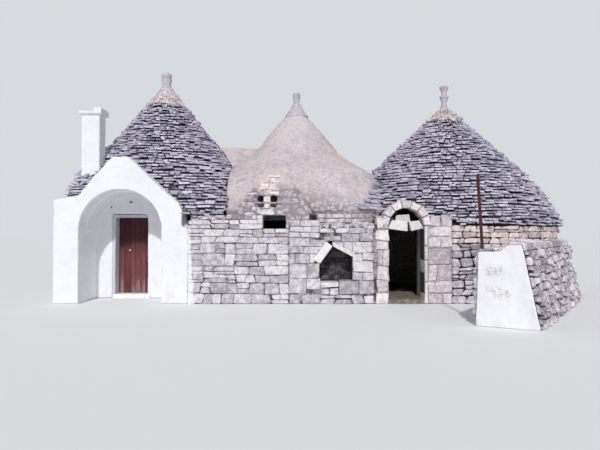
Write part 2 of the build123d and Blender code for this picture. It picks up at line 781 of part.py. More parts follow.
# Yard wall
def in_yard(shape):
    """Place a shape whose x runs back along the wall and whose y runs across it."""
    return Pos(YARD_CORNER_X, YARD_CORNER_Y, 0) * Rot(0, 0, YARD_ANGLE) * shape


def yard_run(x0, x1):
    """A length of the wall, thinner at its top than at its foot."""
    section = Plane.YZ.offset(x0) * make_face(Polyline(*YARD_SECTION, close=True))
    return in_yard(extrude(section, amount=x1 - x0))


def yard_wall():
    drum_outside = Pos(CONE_3_X, 0, WALL_TOP / 2) * Cylinder(DRUM_RADIUS, WALL_TOP)
    return yard_run(END_FACE, YARD_LENGTH) - drum_outside - iron_post()


def whitewashed_end_face():
    return yard_run(0, END_FACE)


def iron_post():
    height = POST_TOP - YARD_TOP + POST_SOCKET
    rod = Pos(0, 0, height / 2) * Cylinder(POST_RADIUS, height)
    foot = Pos(POST_BACK, POST_Y, YARD_TOP - POST_SOCKET)
    return in_yard(foot * Rot(0, 0, -YARD_ANGLE) * Rot(0, -POST_LEAN, 0) * rod)


PIECES = [
    gable_arch, porch_vault, porch_pier, party_wall,
    door_wall_left, door_wall_right, door_head, door_threshold,
    door_frame, hinge_pins, door_leaf, door_knob, strap_hinges,
    middle_front_wall, niche_wall, niche_sill, niche_head, gablet_front, gablet_roof,
    shared_wall_1, shared_wall_2_front, shared_wall_2_rear, passage_lintel, rear_wall,
    floor_1, floor_2, floor_3,
    drum_front, drum_flank, drum_rear,
    doorway_left_pier, doorway_right_pier, voussoir_arch, doorway_spandrels,
    broken_lintel, roof_cone_1, roof_cone_2, roof_cone_3,
    pinnacle_1, pinnacle_2, pinnacle_3, chimney_stack, chimney_cap,
    yard_wall, whitewashed_end_face, iron_post,
]

os.makedirs("parts", exist_ok=True)
for piece in PIECES:
    export_step(piece(), f"parts/{piece.__name__}.step")
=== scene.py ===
# %% [markdown]
# # A trullo house, stone by stone
# A trullo is a dry-stone house. Thick walls of limestone carry cones of flat
# slabs, laid course on course until they close over the room. Three cones
# stand in a row here, with a whitewashed porch at the left, a small gable and
# a niche in the middle, and an open doorway under a round arch at the right.
# The measured solids come first, because every stone is laid against them.

# %% Load the measured solids
import json
import math

import bpy
import numpy as np
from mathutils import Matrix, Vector
from mathutils.bvhtree import BVHTree


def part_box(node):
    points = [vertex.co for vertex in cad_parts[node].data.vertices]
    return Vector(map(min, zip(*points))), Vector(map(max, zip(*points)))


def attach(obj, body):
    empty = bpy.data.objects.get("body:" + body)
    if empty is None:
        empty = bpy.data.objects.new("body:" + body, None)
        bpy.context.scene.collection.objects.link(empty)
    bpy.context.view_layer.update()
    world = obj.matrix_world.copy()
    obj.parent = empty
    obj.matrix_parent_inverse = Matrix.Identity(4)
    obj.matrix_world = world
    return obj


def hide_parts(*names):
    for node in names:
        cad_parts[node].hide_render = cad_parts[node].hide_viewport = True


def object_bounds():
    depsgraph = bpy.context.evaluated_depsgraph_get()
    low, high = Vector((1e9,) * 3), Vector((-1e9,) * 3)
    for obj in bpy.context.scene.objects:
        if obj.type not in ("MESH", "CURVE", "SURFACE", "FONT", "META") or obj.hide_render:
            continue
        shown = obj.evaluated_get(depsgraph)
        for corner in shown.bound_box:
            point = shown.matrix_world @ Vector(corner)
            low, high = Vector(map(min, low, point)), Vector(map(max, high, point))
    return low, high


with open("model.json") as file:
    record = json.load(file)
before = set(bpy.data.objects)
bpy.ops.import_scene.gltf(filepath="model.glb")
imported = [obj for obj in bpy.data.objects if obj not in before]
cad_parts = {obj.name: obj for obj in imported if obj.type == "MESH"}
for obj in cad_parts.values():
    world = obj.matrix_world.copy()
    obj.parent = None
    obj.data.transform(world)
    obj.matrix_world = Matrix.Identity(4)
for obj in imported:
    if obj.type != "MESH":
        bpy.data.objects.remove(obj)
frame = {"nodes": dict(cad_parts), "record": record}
cad_box = [list(corner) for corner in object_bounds()]
solids = frame["nodes"]
bpy.ops.object.select_all(action="DESELECT")
print("solids loaded:", len(solids))

# %% [markdown]
# ## Lines that the stones follow
# The solids say where things are: the axes of the cones, the front and back
# of the walls and their height. Reading these here keeps the courses on the
# roofs and walls when one of them changes.


# %% Read axes and planes from the solids
def middle_x(node):
    """The middle of a solid's box, from left to right."""
    low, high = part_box(node)
    return (low.x + high.x) / 2


CONE_1_X, CONE_2_X, CONE_3_X = [middle_x(f"pinnacle_{count}") for count in (1, 2, 3)]
FRONT_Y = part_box("niche_wall")[0].y
REAR_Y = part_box("rear_wall")[1].y
WALL_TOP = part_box("rear_wall")[1].z
PORCH_EDGE_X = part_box("porch_pier")[1].x
PARTY_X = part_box("party_wall")[0].x
DRUM_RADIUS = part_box("drum_flank")[1].x - CONE_3_X
print("cone axes:", CONE_1_X, CONE_2_X, CONE_3_X, "front:", FRONT_Y, "drum radius:", DRUM_RADIUS)

# %% [markdown]
# ## Shader maths in plain Python
# A material is a web of nodes. Long sums are easier to read as expressions,
# so a small class wraps one output of a node, and its operators add Math
# nodes. One method makes any other node.


# %% A socket that can be added and multiplied
def connect(tree, value, socket):
    """Lead a wire to a socket, or set the socket to a plain value."""
    if isinstance(value, Wire):
        tree.links.new(value.socket, socket)
    else:
        socket.default_value = value


class Wire:
    def __init__(self, tree, socket):
        self.tree = tree
        self.socket = socket

    def maths(self, operation, first, second):
        node = self.tree.nodes.new("ShaderNodeMath")
        node.operation = operation
        for place, value in enumerate((first, second)):
            connect(self.tree, value, node.inputs[place])
        return Wire(self.tree, node.outputs[0])

    def __add__(self, other):
        return self.maths("ADD", self, other)

    def __radd__(self, other):
        return self.maths("ADD", other, self)

    def __sub__(self, other):
        return self.maths("SUBTRACT", self, other)

    def __rsub__(self, other):
        return self.maths("SUBTRACT", other, self)

    def __mul__(self, other):
        return self.maths("MULTIPLY", self, other)

    def __rmul__(self, other):
        return self.maths("MULTIPLY", other, self)

    def __pow__(self, other):
        return self.maths("POWER", self, other)

    def larger(self, other):
        return self.maths("MAXIMUM", self, other)

    def ramp(self, low, high):
        """0 below low, 1 above high, and a straight line between."""
        node = self.tree.nodes.new("ShaderNodeMapRange")
        self.tree.links.new(self.socket, node.inputs[0])
        node.inputs[1].default_value = low
        node.inputs[2].default_value = high
        return Wire(self.tree, node.outputs[0])

    def within(self, low, high, edge):
        """1 between low and high, fading to 0 over an edge on both sides."""
        return self.ramp(low - edge, low) * (1 - self.ramp(high, high + edge))


# %% A finish: one material and the nodes that it is made of
def srgb(red, green, blue):
    """A colour as a picture editor gives it, from 0 to 255, as linear light."""
    linear = [((part / 255 + 0.055) / 1.055) ** 2.4 for part in (red, green, blue)]
    return (*linear, 1)


class Finish:
    def __init__(self, name):
        self.material = bpy.data.materials.new(name)
        self.material.use_nodes = True
        self.tree = self.material.node_tree
        self.shader = self.tree.nodes["Principled BSDF"]
        self.shader.inputs["Specular IOR Level"].default_value = 0.2
        self.place = self.node("ShaderNodeTexCoord", output="Object")
        axes = self.node("ShaderNodeSeparateXYZ", inputs={"Vector": self.place}, output=None)
        self.x, self.y, self.z = (Wire(self.tree, socket) for socket in axes.outputs)

    def node(self, kind, settings=None, inputs=None, output=0):
        """Any node: its settings first, then its sockets' values or links."""
        node = self.tree.nodes.new(kind)
        for key, value in (settings or {}).items():
            setattr(node, key, value)
        for key, value in (inputs or {}).items():
            connect(self.tree, value, node.inputs[key])
        return node if output is None else Wire(self.tree, node.outputs[output])

    def stretched(self, across, along, up):
        """Object coordinates with their scale changed on each axis."""
        return self.node("ShaderNodeMapping", inputs={"Vector": self.place, "Scale": (across, along, up)})

    def noise(self, scale, detail=4, rough=0.55, place=None):
        inputs = {"Vector": place or self.place, "Scale": scale, "Detail": detail, "Roughness": rough}
        return self.node("ShaderNodeTexNoise", inputs=inputs)

    def cells(self, scale, feature="F1", place=None):
        inputs = {"Vector": place or self.place, "Scale": scale}
        return self.node("ShaderNodeTexVoronoi", {"feature": feature}, inputs, "Distance")

    def tone(self):
        """The number that was stored on each stone when it was laid."""
        return self.node("ShaderNodeAttribute", {"attribute_name": "tone"}, output="Fac")

    def spot(self, centre, size):
        """1 at a point of the house, fading to 0 at a distance from it."""
        ends = {0: self.place, 1: centre}
        apart = self.node("ShaderNodeVectorMath", {"operation": "DISTANCE"}, ends, "Value")
        return 1 - apart.ramp(size * 0.45, size)

    def mix(self, factor, first, second):
        """The first colour where the factor is 0, and the second where it is 1."""
        return self.node("ShaderNodeMix", {"data_type": "RGBA"}, {0: factor, 6: first, 7: second}, 2)

    def bright(self, colour, strength):
        """The colour made lighter or darker by a number near 1."""
        if not isinstance(colour, Wire):
            colour = colour[:3]
        return self.node("ShaderNodeVectorMath", {"operation": "SCALE"}, {0: colour, "Scale": strength})

    def feed(self, colour, rough, height, distance):
        """Lead what changes over the surface to the shader, and hand back the material."""
        relief = {"Height": height, "Distance": distance, "Strength": 1.0}
        bump = self.node("ShaderNodeBump", inputs=relief)
        for key, value in (("Base Color", colour), ("Roughness", rough), ("Normal", bump)):
            connect(self.tree, value, self.shader.inputs[key])
        return self.material


print("mid grey in linear light:", srgb(128, 128, 128))

# %% [markdown]
# ## Limestone
# All the stone here is one limestone, but weather changes it. On the roofs it
# is lilac-grey with dark lichen, on the walls nearly white with grey veils,
# and under the eave it keeps a pinkish cream. So one recipe takes four
# colours. Each stone also has its own tone, stored on it when it is laid,
# because real neighbours in a wall never match. The front wall's first stones
# were caught by the brush when the porch was limewashed.


# %% The limestone recipe
LIME_WHITE = srgb(246, 246, 249)


def limewash_lap(finish):
    """Where the porch's limewash runs over the first stones of the next wall, wider near the ground."""
    ragged = finish.noise(5, 3, 0.6) * 0.13 + (1 - finish.z.ramp(0.3, 1.8)) * 0.1 - 0.04
    beside = 1 - (finish.x - ragged).ramp(PORCH_EDGE_X, PORCH_EDGE_X + 0.03)
    return beside * (1 - finish.y.ramp(FRONT_Y + 0.05, FRONT_Y + 0.1)) * (1 - finish.z.ramp(1.78, 1.84))


def limestone(name, pale, middle, dark, lichen, spread=0.14, spots=0.5, lapped=False):
    """Weathered stone: spread is how far neighbours differ, spots how strong the lichen is."""
    pale, middle, dark, lichen = (srgb(*colour) for colour in (pale, middle, dark, lichen))
    finish = Finish(name)
    tone = finish.tone()
    patches = finish.noise(2.3, 5, 0.62)
    grain = finish.noise(26, 6, 0.72)
    blotch = finish.noise(9, 4, 0.62)
    weather = (patches * 0.45 + grain * 0.45 + tone * 0.12).ramp(0.41, 0.6)
    colour = finish.mix(weather, dark, middle)
    colour = finish.mix((blotch * 0.8 + tone * 0.14).ramp(0.38, 0.58), colour, pale)
    lichens = (finish.noise(34, 2, 0.5) * 0.7 + patches * 0.4).ramp(0.6, 0.7)
    colour = finish.mix(lichens * spots, colour, lichen)
    colour = finish.bright(colour, tone * spread + grain * 0.34 + (0.83 - spread / 2))
    if lapped:
        colour = finish.mix(limewash_lap(finish), colour, LIME_WHITE)
    pits = finish.cells(55)
    height = grain * 0.6 + patches * 0.6 + blotch * 0.5 + pits.ramp(0, 0.35) * 0.3
    return finish.feed(colour, 0.93 - grain * 0.12, height, 0.02)


roof_stone = limestone("lichened_roof_slab", (226, 221, 235), (192, 187, 203), (146, 142, 158),
                       (84, 79, 86), spread=0.2, spots=0.6)
wall_stone = limestone("weathered_wall_block", (236, 230, 234), (210, 203, 210), (170, 162, 172),
                       (140, 130, 134), spread=0.12, spots=0.6, lapped=True)
yard_stone = limestone("lilac_yard_rubble", (232, 223, 230), (202, 192, 201), (156, 146, 159),
                       (118, 108, 117), spread=0.28, spots=0.7)
pier_stone = limestone("pinkish_pier_block", (248, 240, 242), (230, 219, 223), (190, 178, 184),
                       (150, 137, 139), spread=0.14, spots=0.6)
limed_stone = limestone("pale_limed_edge", (248, 245, 244), (238, 233, 232), (212, 204, 204),
                        (176, 164, 162), spread=0.08, spots=0.3)
cream_stone = limestone("cream_block_under_eave", (250, 238, 236), (232, 214, 213), (184, 168, 170),
                        (172, 140, 124), spread=0.24)
finial_stone = limestone("grey_finial_stone", (214, 209, 217), (196, 191, 200), (160, 154, 165),
                         (126, 118, 126), spread=0.1, spots=0.6)
mortar = limestone("cream_cap_mortar", (238, 228, 226), (220, 206, 203), (172, 160, 163),
                   (204, 156, 134), spread=0.24, spots=0.7)
floor_stone = limestone("worn_floor_flags", (186, 178, 166), (160, 150, 138), (120, 110, 100), (96, 86, 76))
arch_stone = limestone("pale_arch_stone", (252, 245, 247), (238, 229, 233), (202, 191, 197),
                       (164, 151, 153), spread=0.12)
# the niche's back rubble is darkened as painted shade, with reddish patches of its own
niche_shade = limestone("painted_shade_niche_rubble", (108, 101, 106), (78, 71, 76), (52, 47, 51),
                        (96, 62, 54), spread=0.3, spots=0.7)
print("limestone finishes made: 11")

# %% [markdown]
# ## Stones from a few moulds
# Thousands of stones can't be shaped one by one. A few cubes are bevelled and
# knocked about, and each laid stone is one of these, pulled to eight corners
# of its own. Because no two stones get the same corners, the repeats don't
# show. Slabs and rubble are many and keep a few dozen faces each, and the few
# dressed stones have finer moulds.


# %% Knock about a cube to make a mould
def start_edit():
    """Go to work on all the points of the active object."""
    bpy.ops.object.mode_set(mode="EDIT")
    bpy.ops.mesh.select_all(action="SELECT")


def finish_edit():
    """Go back to whole objects, and hand over the one that was worked on."""
    bpy.ops.object.mode_set(mode="OBJECT")
    return bpy.context.object


def mould(seed, bevel, cuts, rough):
    """Points of a knocked-about cube, stretched to fill 0 to 1, and its faces."""
    bpy.ops.mesh.primitive_cube_add(size=1)
    start_edit()
    bpy.ops.mesh.bevel(offset=bevel, segments=1, affect="EDGES")
    if cuts:
        bpy.ops.mesh.subdivide(number_cuts=cuts)
    bpy.ops.transform.vertex_random(offset=rough, uniform=0.0, normal=0.0, seed=seed)
    block = finish_edit()
    points = np.array([vertex.co for vertex in block.data.vertices], float)
    points = (points - points.min(0)) / (points.max(0) - points.min(0))
    faces = [list(face.vertices) for face in block.data.polygons]
    bpy.data.objects.remove(block)
    return points, faces


slab_moulds = [mould(seed, 0.1, 0, 0.055) for seed in range(8)]
cobble_moulds = [mould(seed, 0.16, 0, 0.06) for seed in range(30, 38)]
block_moulds = [mould(seed, 0.11, 1, 0.036) for seed in range(10, 18)]
fine_moulds = [mould(seed, 0.048, 3, 0.016) for seed in range(20, 26)]
for moulds in (slab_moulds, cobble_moulds, block_moulds, fine_moulds):
    print("moulds:", len(moulds), "faces in each:", len(moulds[0][1]))


# %% Pull the moulds to the stones' corners and join them in one mesh
def own(piece, finish, body="house", replaced=()):
    """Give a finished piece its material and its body."""
    points = np.array([vertex.co for vertex in piece.data.vertices], np.float32)
    points = np.clip(points, cad_box[0], cad_box[1]).astype(np.float32)
    piece.data.vertices.foreach_set("co", points.ravel())
    piece.data.update()
    piece.data.materials.clear()
    piece.data.materials.append(finish)
    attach(piece, body)
    if replaced:
        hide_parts(*replaced)
    return piece


def give_tone(mesh, values):
    """Store one number on each point, for the material to read."""
    mesh.attributes.new("tone", "FLOAT", "POINT").data.foreach_set("value", values)


def lay(name, stones, moulds, seed, finish, replaced=()):
    """Join stones, each given by its 2 x 2 x 2 corners, into one mesh."""
    rng = np.random.default_rng(seed)
    points, faces, tones = [], [], []
    start = 0
    for corners in stones:
        mould_points, mould_faces = moulds[rng.integers(len(moulds))]
        weights = np.ones((len(mould_points), 2, 2, 2))
        for axis in range(3):
            share = np.stack([1 - mould_points[:, axis], mould_points[:, axis]], 1)
            shape = [len(mould_points), 1, 1, 1]
            shape[axis + 1] = 2
            weights = weights * share.reshape(shape)
        points.append(np.einsum("nabc,abcd->nd", weights, corners))
        faces += [[start + index for index in face] for face in mould_faces]
        tones.append(np.full(len(mould_points), rng.random()))
        start += len(mould_points)
    mesh = bpy.data.meshes.new(name)
    mesh.from_pydata(np.concatenate(points).tolist(), [], faces)
    give_tone(mesh, np.concatenate(tones).astype(np.float32))
    piece = bpy.data.objects.new(name, mesh)
    bpy.context.scene.collection.objects.link(piece)
    print(name, "stones:", len(stones), "faces:", len(faces))
    return own(piece, finish, replaced=replaced)


# %% [markdown]
# ## How a dry wall is coursed
# A mason keeps rough courses, but no bed joint is level and no upright joint
# is plumb. So each bed is a gentle wave, each upright joint leans, and two
# neighbours share them, which keeps the open joint between them thin. A
# random generator with a fixed seed gives the same wall on each run.


# %% Bed joints and upright joints
def bed(level, size, rng):
    """A bed joint that rises and falls a little along the wall."""
    turn, quick = rng.uniform(0, 6, 2)

    def height(along):
        return level + size * (0.6 * math.sin(1.9 * along + turn) + 0.4 * math.sin(5.3 * along + quick))
    return height


def upright_joints(left, right, widths, lean, rng):
    """Where the joints between two ends meet the bed below and the bed above."""
    cuts = [left]
    while True:
        width = rng.uniform(*widths)
        if right - cuts[-1] - width < widths[0] * 0.7:
            break
        cuts.append(cuts[-1] + width)
    leans = [0, *rng.uniform(-lean, lean, len(cuts) - 1), 0]
    return [(cut - slant, cut + slant) for cut, slant in zip(cuts + [right], leans)]


print("a bed joint, 2 m along:", bed(1.0, 0.02, np.random.default_rng(1))(2.0))


# %% Stones between the joints
def stone_between(place, sides, beds, front, back, rng, slip, joint):
    """One stone between two upright joints and two beds, each corner slipped a little."""
    corners = np.zeros((2, 2, 2, 3))
    for across in range(2):
        for up in range(2):
            along = sides[across][up] + (joint, -joint)[across]
            height = beds[up](along) + (joint, -joint)[up]
            for deep, inward in enumerate((front, back)):
                a, b, c = rng.uniform(-slip, slip, 3)
                corners[across, deep, up] = place(along + a, height + b, inward + c)
    return corners


def free_runs(start, end, low, high, blocked):
    """The stretches of a course that no opening blocks."""
    runs = [(start, end)]
    for left, right, base, top in blocked:
        if top <= low + 0.02 or base >= high - 0.02:
            continue
        parts = [part for a, b in runs for part in ((a, min(b, left)), (max(a, right), b))]
        runs = [(a, b) for a, b in parts if b - a > 0.06]
    return runs


print("runs of a 3 m course beside an opening:", free_runs(0, 3, 0, 0.2, [(1, 2, 0, 1)]))


# %% Courses for a whole face
def courses(place, outline, levels, widths, rng, blocked=(), proud=(0.016, 0.05), back=0.14,
            wave=0.012, slip=0.006, joint=0.005, split=0.16, lean=0.02):
    """Stones for a whole face: outline gives a level's start and end along it."""
    last = len(levels) - 1
    beds = [bed(level, wave if 0 < count < last else 0, rng) for count, level in enumerate(levels)]
    stones = []
    for low, high, lower, upper in zip(levels, levels[1:], beds, beds[1:]):
        start, end = outline((low + high) / 2)
        for left, right in free_runs(start, end, low, high, blocked):
            sides = upright_joints(left, right, widths, lean, rng)
            for pair in zip(sides, sides[1:]):
                front = -rng.uniform(*proud)
                lines = [lower, upper]
                if rng.random() < split and high - low > 0.15:
                    lines.insert(1, bed(low + rng.uniform(0.35, 0.65) * (high - low), 0.004, rng))
                for bounds in zip(lines, lines[1:]):
                    stones.append(stone_between(place, pair, bounds, front, back, rng, slip, joint))
    return stones


def levels_between(low, high, step, rng):
    """Course lines from low to high, about a step apart."""
    count = max(1, round((high - low) / step))
    lines = np.linspace(low, high, count + 1)
    lines[1:-1] += rng.uniform(-0.18, 0.18, count - 1) * (high - low) / count
    return list(lines)


print("course lines in 1 m:", levels_between(0, 1, 0.25, np.random.default_rng(1)))


# %% [markdown]
# ## The two slab roofs
# The outer cones are covered with thin limestone slabs in level courses, each
# set back a little from the one below, so that rain runs off. A ray towards
# the cone's axis finds how far out the solid's face is, and the slabs' edges
# stand on those points. Behind them the solid gives way to a copy of itself
# whose faces are drawn in, coloured dark as painted shade in the gaps between slabs.


# %% Find a roof's face all the way round
def faces_of(node):
    """A solid's faces in a tree that rays can be cast on."""
    mesh = solids[node].data
    return BVHTree.FromPolygons([v.co for v in mesh.vertices], [list(p.vertices) for p in mesh.polygons])


def reach_round(tree, axis_x, height, samples=240, run_on=2):
    """The face's distance from the axis all the way round, with gaps as nan."""
    reach = np.full(samples, np.nan)
    for index in range(samples):
        angle = 2 * math.pi * index / samples
        out = Vector((math.cos(angle), math.sin(angle), 0))
        point, normal, _, far = tree.ray_cast(Vector((axis_x, 0, height)) + out * 9, -out)
        if point is not None and normal.z > 0.2:
            reach[index] = 9 - far
    for _ in range(run_on):
        before, after = np.roll(reach, 1), np.roll(reach, -1)
        reach = np.where(np.isnan(reach), np.where(np.isnan(before), after, before), reach)
    return reach


eave_reach = reach_round(faces_of("roof_cone_3"), CONE_3_X, WALL_TOP + 0.03)
print("the third roof reaches, at its eave:", np.nanmin(eave_reach), "to", np.nanmax(eave_reach))


# %% Lay a roof's courses
def all_round(height):
    """Bearings of a full turn, at every height."""
    return 0, 360


def slab_courses(node, axis_x, low, high, seed, rise=(0.062, 0.088), widths=(0.1, 0.32), sunk=(-0.045, 0.05),
                 depth=0.26, lift=0.035, thin=(0.42, 0.8), bearings=all_round, foot=0.0):
    """Courses from low to high, between the bearings in degrees that each height has.

    Those below foot follow the edge at foot. A slab's thickness is a share of its course's, sunk is how
    far its edge lies behind the face, and lift is how much higher its back lies.
    """
    tree = faces_of(node)
    rng = np.random.default_rng(seed)
    stones = []
    height = low
    while height < high:
        step = rng.uniform(*rise)
        reach = reach_round(tree, axis_x, max(height, foot) + 0.03)
        samples = len(reach)

        def far_out(angle):
            spot = angle / (2 * math.pi) * samples
            a, b = reach[int(spot) % samples], reach[(int(spot) + 1) % samples]
            return a + (b - a) * (spot - int(spot))

        first, last = bearings(height)
        angle = math.radians(first) + rng.uniform(0, 0.05)
        end = angle + math.radians(last - first)
        while angle < end:
            here = far_out(angle)
            if np.isnan(here):
                angle += 2 * math.pi / samples
                continue
            width = rng.uniform(*widths) * min(1.0, 0.45 + here / 4)
            stop = min(angle + width / here, end)
            while np.isnan(far_out(stop)) and stop > angle:
                stop -= math.pi / samples
            if (stop - angle) * here > 0.04:
                wave = 0.2 * step * math.sin(3 * angle + seed) + 0.13 * step * math.sin(7 * angle + 2 * seed)
                base = height + wave + rng.uniform(-0.22, 0.22) * step
                thick = step * rng.uniform(*thin)
                inward = rng.uniform(*sunk)
                corners = np.zeros((2, 2, 2, 3))
                for across, along in enumerate((angle + 0.006 / here, stop - 0.006 / here)):
                    tip = inward + rng.uniform(-0.02, 0.02)
                    for deep, behind in enumerate((tip, tip + depth)):
                        radius = far_out(along) - behind
                        x, y = axis_x + radius * math.cos(along), radius * math.sin(along)
                        tilt = rng.uniform(-0.12, 0.12) * step + deep * lift
                        for up in range(2):
                            fray = rng.uniform(-0.1, 0.1) * step * up
                            corners[across, deep, up] = (x, y, base + tilt + fray + up * thick)
                stones.append(corners)
            angle = stop if stop > angle else angle + 2 * math.pi / samples
        height += step
    return stones


lowest = slab_courses("roof_cone_3", CONE_3_X, WALL_TOP, WALL_TOP + 0.2, 5)
print("slabs on the lowest 0.2 m of the third roof:", len(lowest))


# %% Draw in a copy of a solid, to stand dark behind its stones
SAME_POINT = 0.0005


def copy_solids(name, nodes):
    """One closed copy of some solids, open for work on all its points."""
    bpy.ops.object.select_all(action="DESELECT")
    for node in nodes:
        copy = bpy.data.objects.new(name, solids[node].data.copy())
        bpy.context.scene.collection.objects.link(copy)
        copy.select_set(True)
        bpy.context.view_layer.objects.active = copy
    if len(nodes) > 1:
        bpy.ops.object.join()
    start_edit()
    bpy.ops.mesh.remove_doubles(threshold=SAME_POINT)


def drawn_in(name, node, inward, finish):
    """A copy whose faces lie further in, in the solid's place."""
    copy_solids(name, [node])
    bpy.ops.mesh.normals_make_consistent(inside=False)
    bpy.ops.transform.shrink_fatten(value=-inward)
    return own(finish_edit(), finish, replaced=[node])


def dark_gaps(name):
    """Painted shade in the deep gaps between slabs, and plain rubble where the roof meets the party wall."""
    finish = Finish(name)
    grain = finish.noise(20, 5, 0.65)
    rubble = finish.cells(5, "DISTANCE_TO_EDGE", finish.stretched(1, 1, 1.9))
    party = 1 - finish.x.ramp(PARTY_X + 0.14, PARTY_X + 0.2)
    cloudy = finish.noise(3, 5, 0.7).ramp(0.4, 0.62)
    stones = finish.mix(cloudy, srgb(150, 145, 153), srgb(196, 190, 197))
    wall = finish.mix(rubble.ramp(0.01, 0.06), srgb(108, 102, 108), stones)
    # the dark colour is painted shade for the gaps between slabs; the rubble beside the party wall keeps its
    # own colours
    colour = finish.mix(party, finish.bright(srgb(58, 54, 62), grain * 0.8 + 0.6), wall)
    return finish.feed(colour, 0.95 - grain * 0.1, rubble.ramp(0, 0.1) * 0.6 + grain * 0.3, 0.03)


GAP_DEPTH = 0.085
slab_gap_shade = dark_gaps("painted_shade_between_slabs")
print("finish made:", slab_gap_shade.name)

# %% The first roof
roof_1 = slab_courses("roof_cone_1", CONE_1_X, WALL_TOP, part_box("pinnacle_1")[0].z + 0.03, 3)
lay("slabs_of_cone_1", roof_1, slab_moulds, 31, roof_stone)
drawn_in("painted_shade_gaps_of_cone_1", "roof_cone_1", GAP_DEPTH, slab_gap_shade)

# %% [markdown]
# The third roof's lowest slabs hang a little below the top of the wall. At its
# left they also spill over the corner of the plastered cone, larger and
# flatter than those higher up.

# %% The third roof and its spill over the plastered cone
EAVE_LOW = WALL_TOP - 0.115
SPILL_TOP = WALL_TOP + 1.2


def along_eave(height):
    """Bearings between which the eave has air under it."""
    return -100, 133


def spill(height):
    """The spill starts further to the left the lower it lies."""
    return -62 + 26 * max(0.0, height - WALL_TOP - 0.25), -8


roof_3 = slab_courses("roof_cone_3", CONE_3_X, WALL_TOP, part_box("pinnacle_3")[0].z + 0.03, 5)
roof_3 += slab_courses("roof_cone_3", CONE_3_X, EAVE_LOW, WALL_TOP - 0.03, 12, bearings=along_eave,
                       foot=WALL_TOP)
roof_3 += slab_courses("roof_cone_2", CONE_2_X, WALL_TOP, SPILL_TOP, 14, rise=(0.075, 0.1),
                       widths=(0.16, 0.42), sunk=(-0.1, -0.03), depth=0.2, bearings=spill)
lay("slabs_of_cone_3", roof_3, slab_moulds, 33, roof_stone)
drawn_in("painted_shade_gaps_of_cone_3", "roof_cone_3", GAP_DEPTH, slab_gap_shade)

# %% [markdown]
# ## Walls of coursed blocks
# The front and rear walls are blocks in rough courses without mortar. Each
# wall gets its own line in plan: a function that turns a distance along the
# wall, a height and a depth into a point.


# %% Lines of the straight walls and the round drum
def straight(x, y, along_x, along_y):
    """A wall line from a point, with its inner side at the left of its run."""
    def place(along, up, inward):
        return (x + along * along_x - inward * along_y, y + along * along_y + inward * along_x, up)
    return place


def round_wall(axis_x, radius):
    """A wall line round an axis, measured along its outer face."""
    def place(along, up, inward):
        angle = along / radius
        return (axis_x + (radius - inward) * math.cos(angle), (radius - inward) * math.sin(angle), up)
    return place


def all_along(start, end):
    """The same two ends at every height."""
    return lambda height: (start, end)


rng = np.random.default_rng(11)
front_line = straight(0, FRONT_Y, 1, 0)
rear_line = straight(0, REAR_Y, -1, 0)
drum_line = round_wall(CONE_3_X, DRUM_RADIUS)
print("walls start at:", front_line(0, 0, 0), rear_line(0, 0, 0), drum_line(0, 0, 0))

# %% [markdown]
# The stones beside and over the niche are large and easy to tell apart, so
# each of them is listed one by one: its left and right end, its base and its
# top. The window, the niche and the stones round the niche's head are given
# in the same way. The courses then fill what is left of the wall.

# %% Stones listed one by one beside the niche
BESIDE_NICHE = [
    (1.345, 1.83, 1.215, 1.475), (1.36, 1.6, 1.03, 1.2), (1.6, 1.85, 1.04, 1.21), (1.36, 1.84, 0.76, 1.025),
    (1.36, 1.6, 0.56, 0.755), (1.6, 1.86, 0.55, 0.755), (1.505, 1.87, 0.23, 0.545),
    (0.67, 1.07, 1.5, 1.62), (1.08, 1.51, 1.48, 1.67), (1.52, 1.85, 1.485, 1.7),
    (0.27, 0.56, 0.61, 0.97), (0.26, 0.58, 0.33, 0.605), (-0.01, 0.33, 0.955, 1.19),
    (-0.16, 0.19, 1.2, 1.36), (-0.17, 0.32, 1.37, 1.57),
    (-0.165, 0.265, 0.61, 0.945), (-0.165, 0.255, 0.24, 0.605), (0.6, 0.79, 0.225, 0.37),
    (0.8, 1.02, 0.22, 0.375),
]
ROUND_ITS_HEAD = [(0.33, 1.52, 0.96, 1.28), (0.19, 0.66, 1.19, 1.36), (0.33, 0.76, 1.36, 1.53)]
WINDOW = (-0.785, -0.235, 1.785, 2.115)
NICHE = [(0.57, 1.35, 0.52, 1.0), (0.39, 1.5, 0.96, 1.24), (0.6, 1.36, 1.2, 1.5), (0.58, 1.505, 0.21, 0.56)]
niche_side = [
    stone_between(front_line, ((left, left), (right, right)), (bed(base, 0.008, rng), bed(top, 0.008, rng)),
                  -rng.uniform(0.01, 0.035), 0.2, rng, 0.011, 0.004)
    for left, right, base, top in BESIDE_NICHE
]
lay("stones_beside_niche", niche_side, fine_moulds, 40, wall_stone)

# %% The middle wall and the rear wall
middle_taken = [WINDOW] + NICHE + BESIDE_NICHE + ROUND_ITS_HEAD
LEFT_BEDS = [0, 0.24, 0.5, 0.69, 0.9, 1.19, 1.43, 1.6, 1.785, 2.0]
NICHE_BEDS = [0, 0.23, 0.6, 0.95, 1.19, 1.365, 1.57, 1.7, 1.85, 2.0]
RIGHT_BEDS = [0, 0.21, 0.55, 0.76, 1.03, 1.21, 1.48, 1.68, 1.81]
middle = courses(front_line, all_along(PORCH_EDGE_X, -0.16), LEFT_BEDS, (0.2, 0.56), rng, middle_taken,
                 wave=0.02, slip=0.012, joint=0.003, split=0.3, lean=0.035)
middle += courses(front_line, all_along(-0.16, 0.57), NICHE_BEDS, (0.18, 0.4), rng, middle_taken,
                  slip=0.012, joint=0.003, lean=0.035)
middle += courses(front_line, all_along(0.57, 1.855), RIGHT_BEDS, (0.18, 0.42), rng, middle_taken,
                  slip=0.018, joint=0.007, lean=0.045)
lay("middle_wall_blocks", middle, block_moulds, 41, wall_stone)
rear = courses(rear_line, all_along(-2.21, 5.19), levels_between(0, WALL_TOP, 0.22, rng), (0.22, 0.55), rng)
lay("rear_wall_blocks", rear, block_moulds, 43, wall_stone)

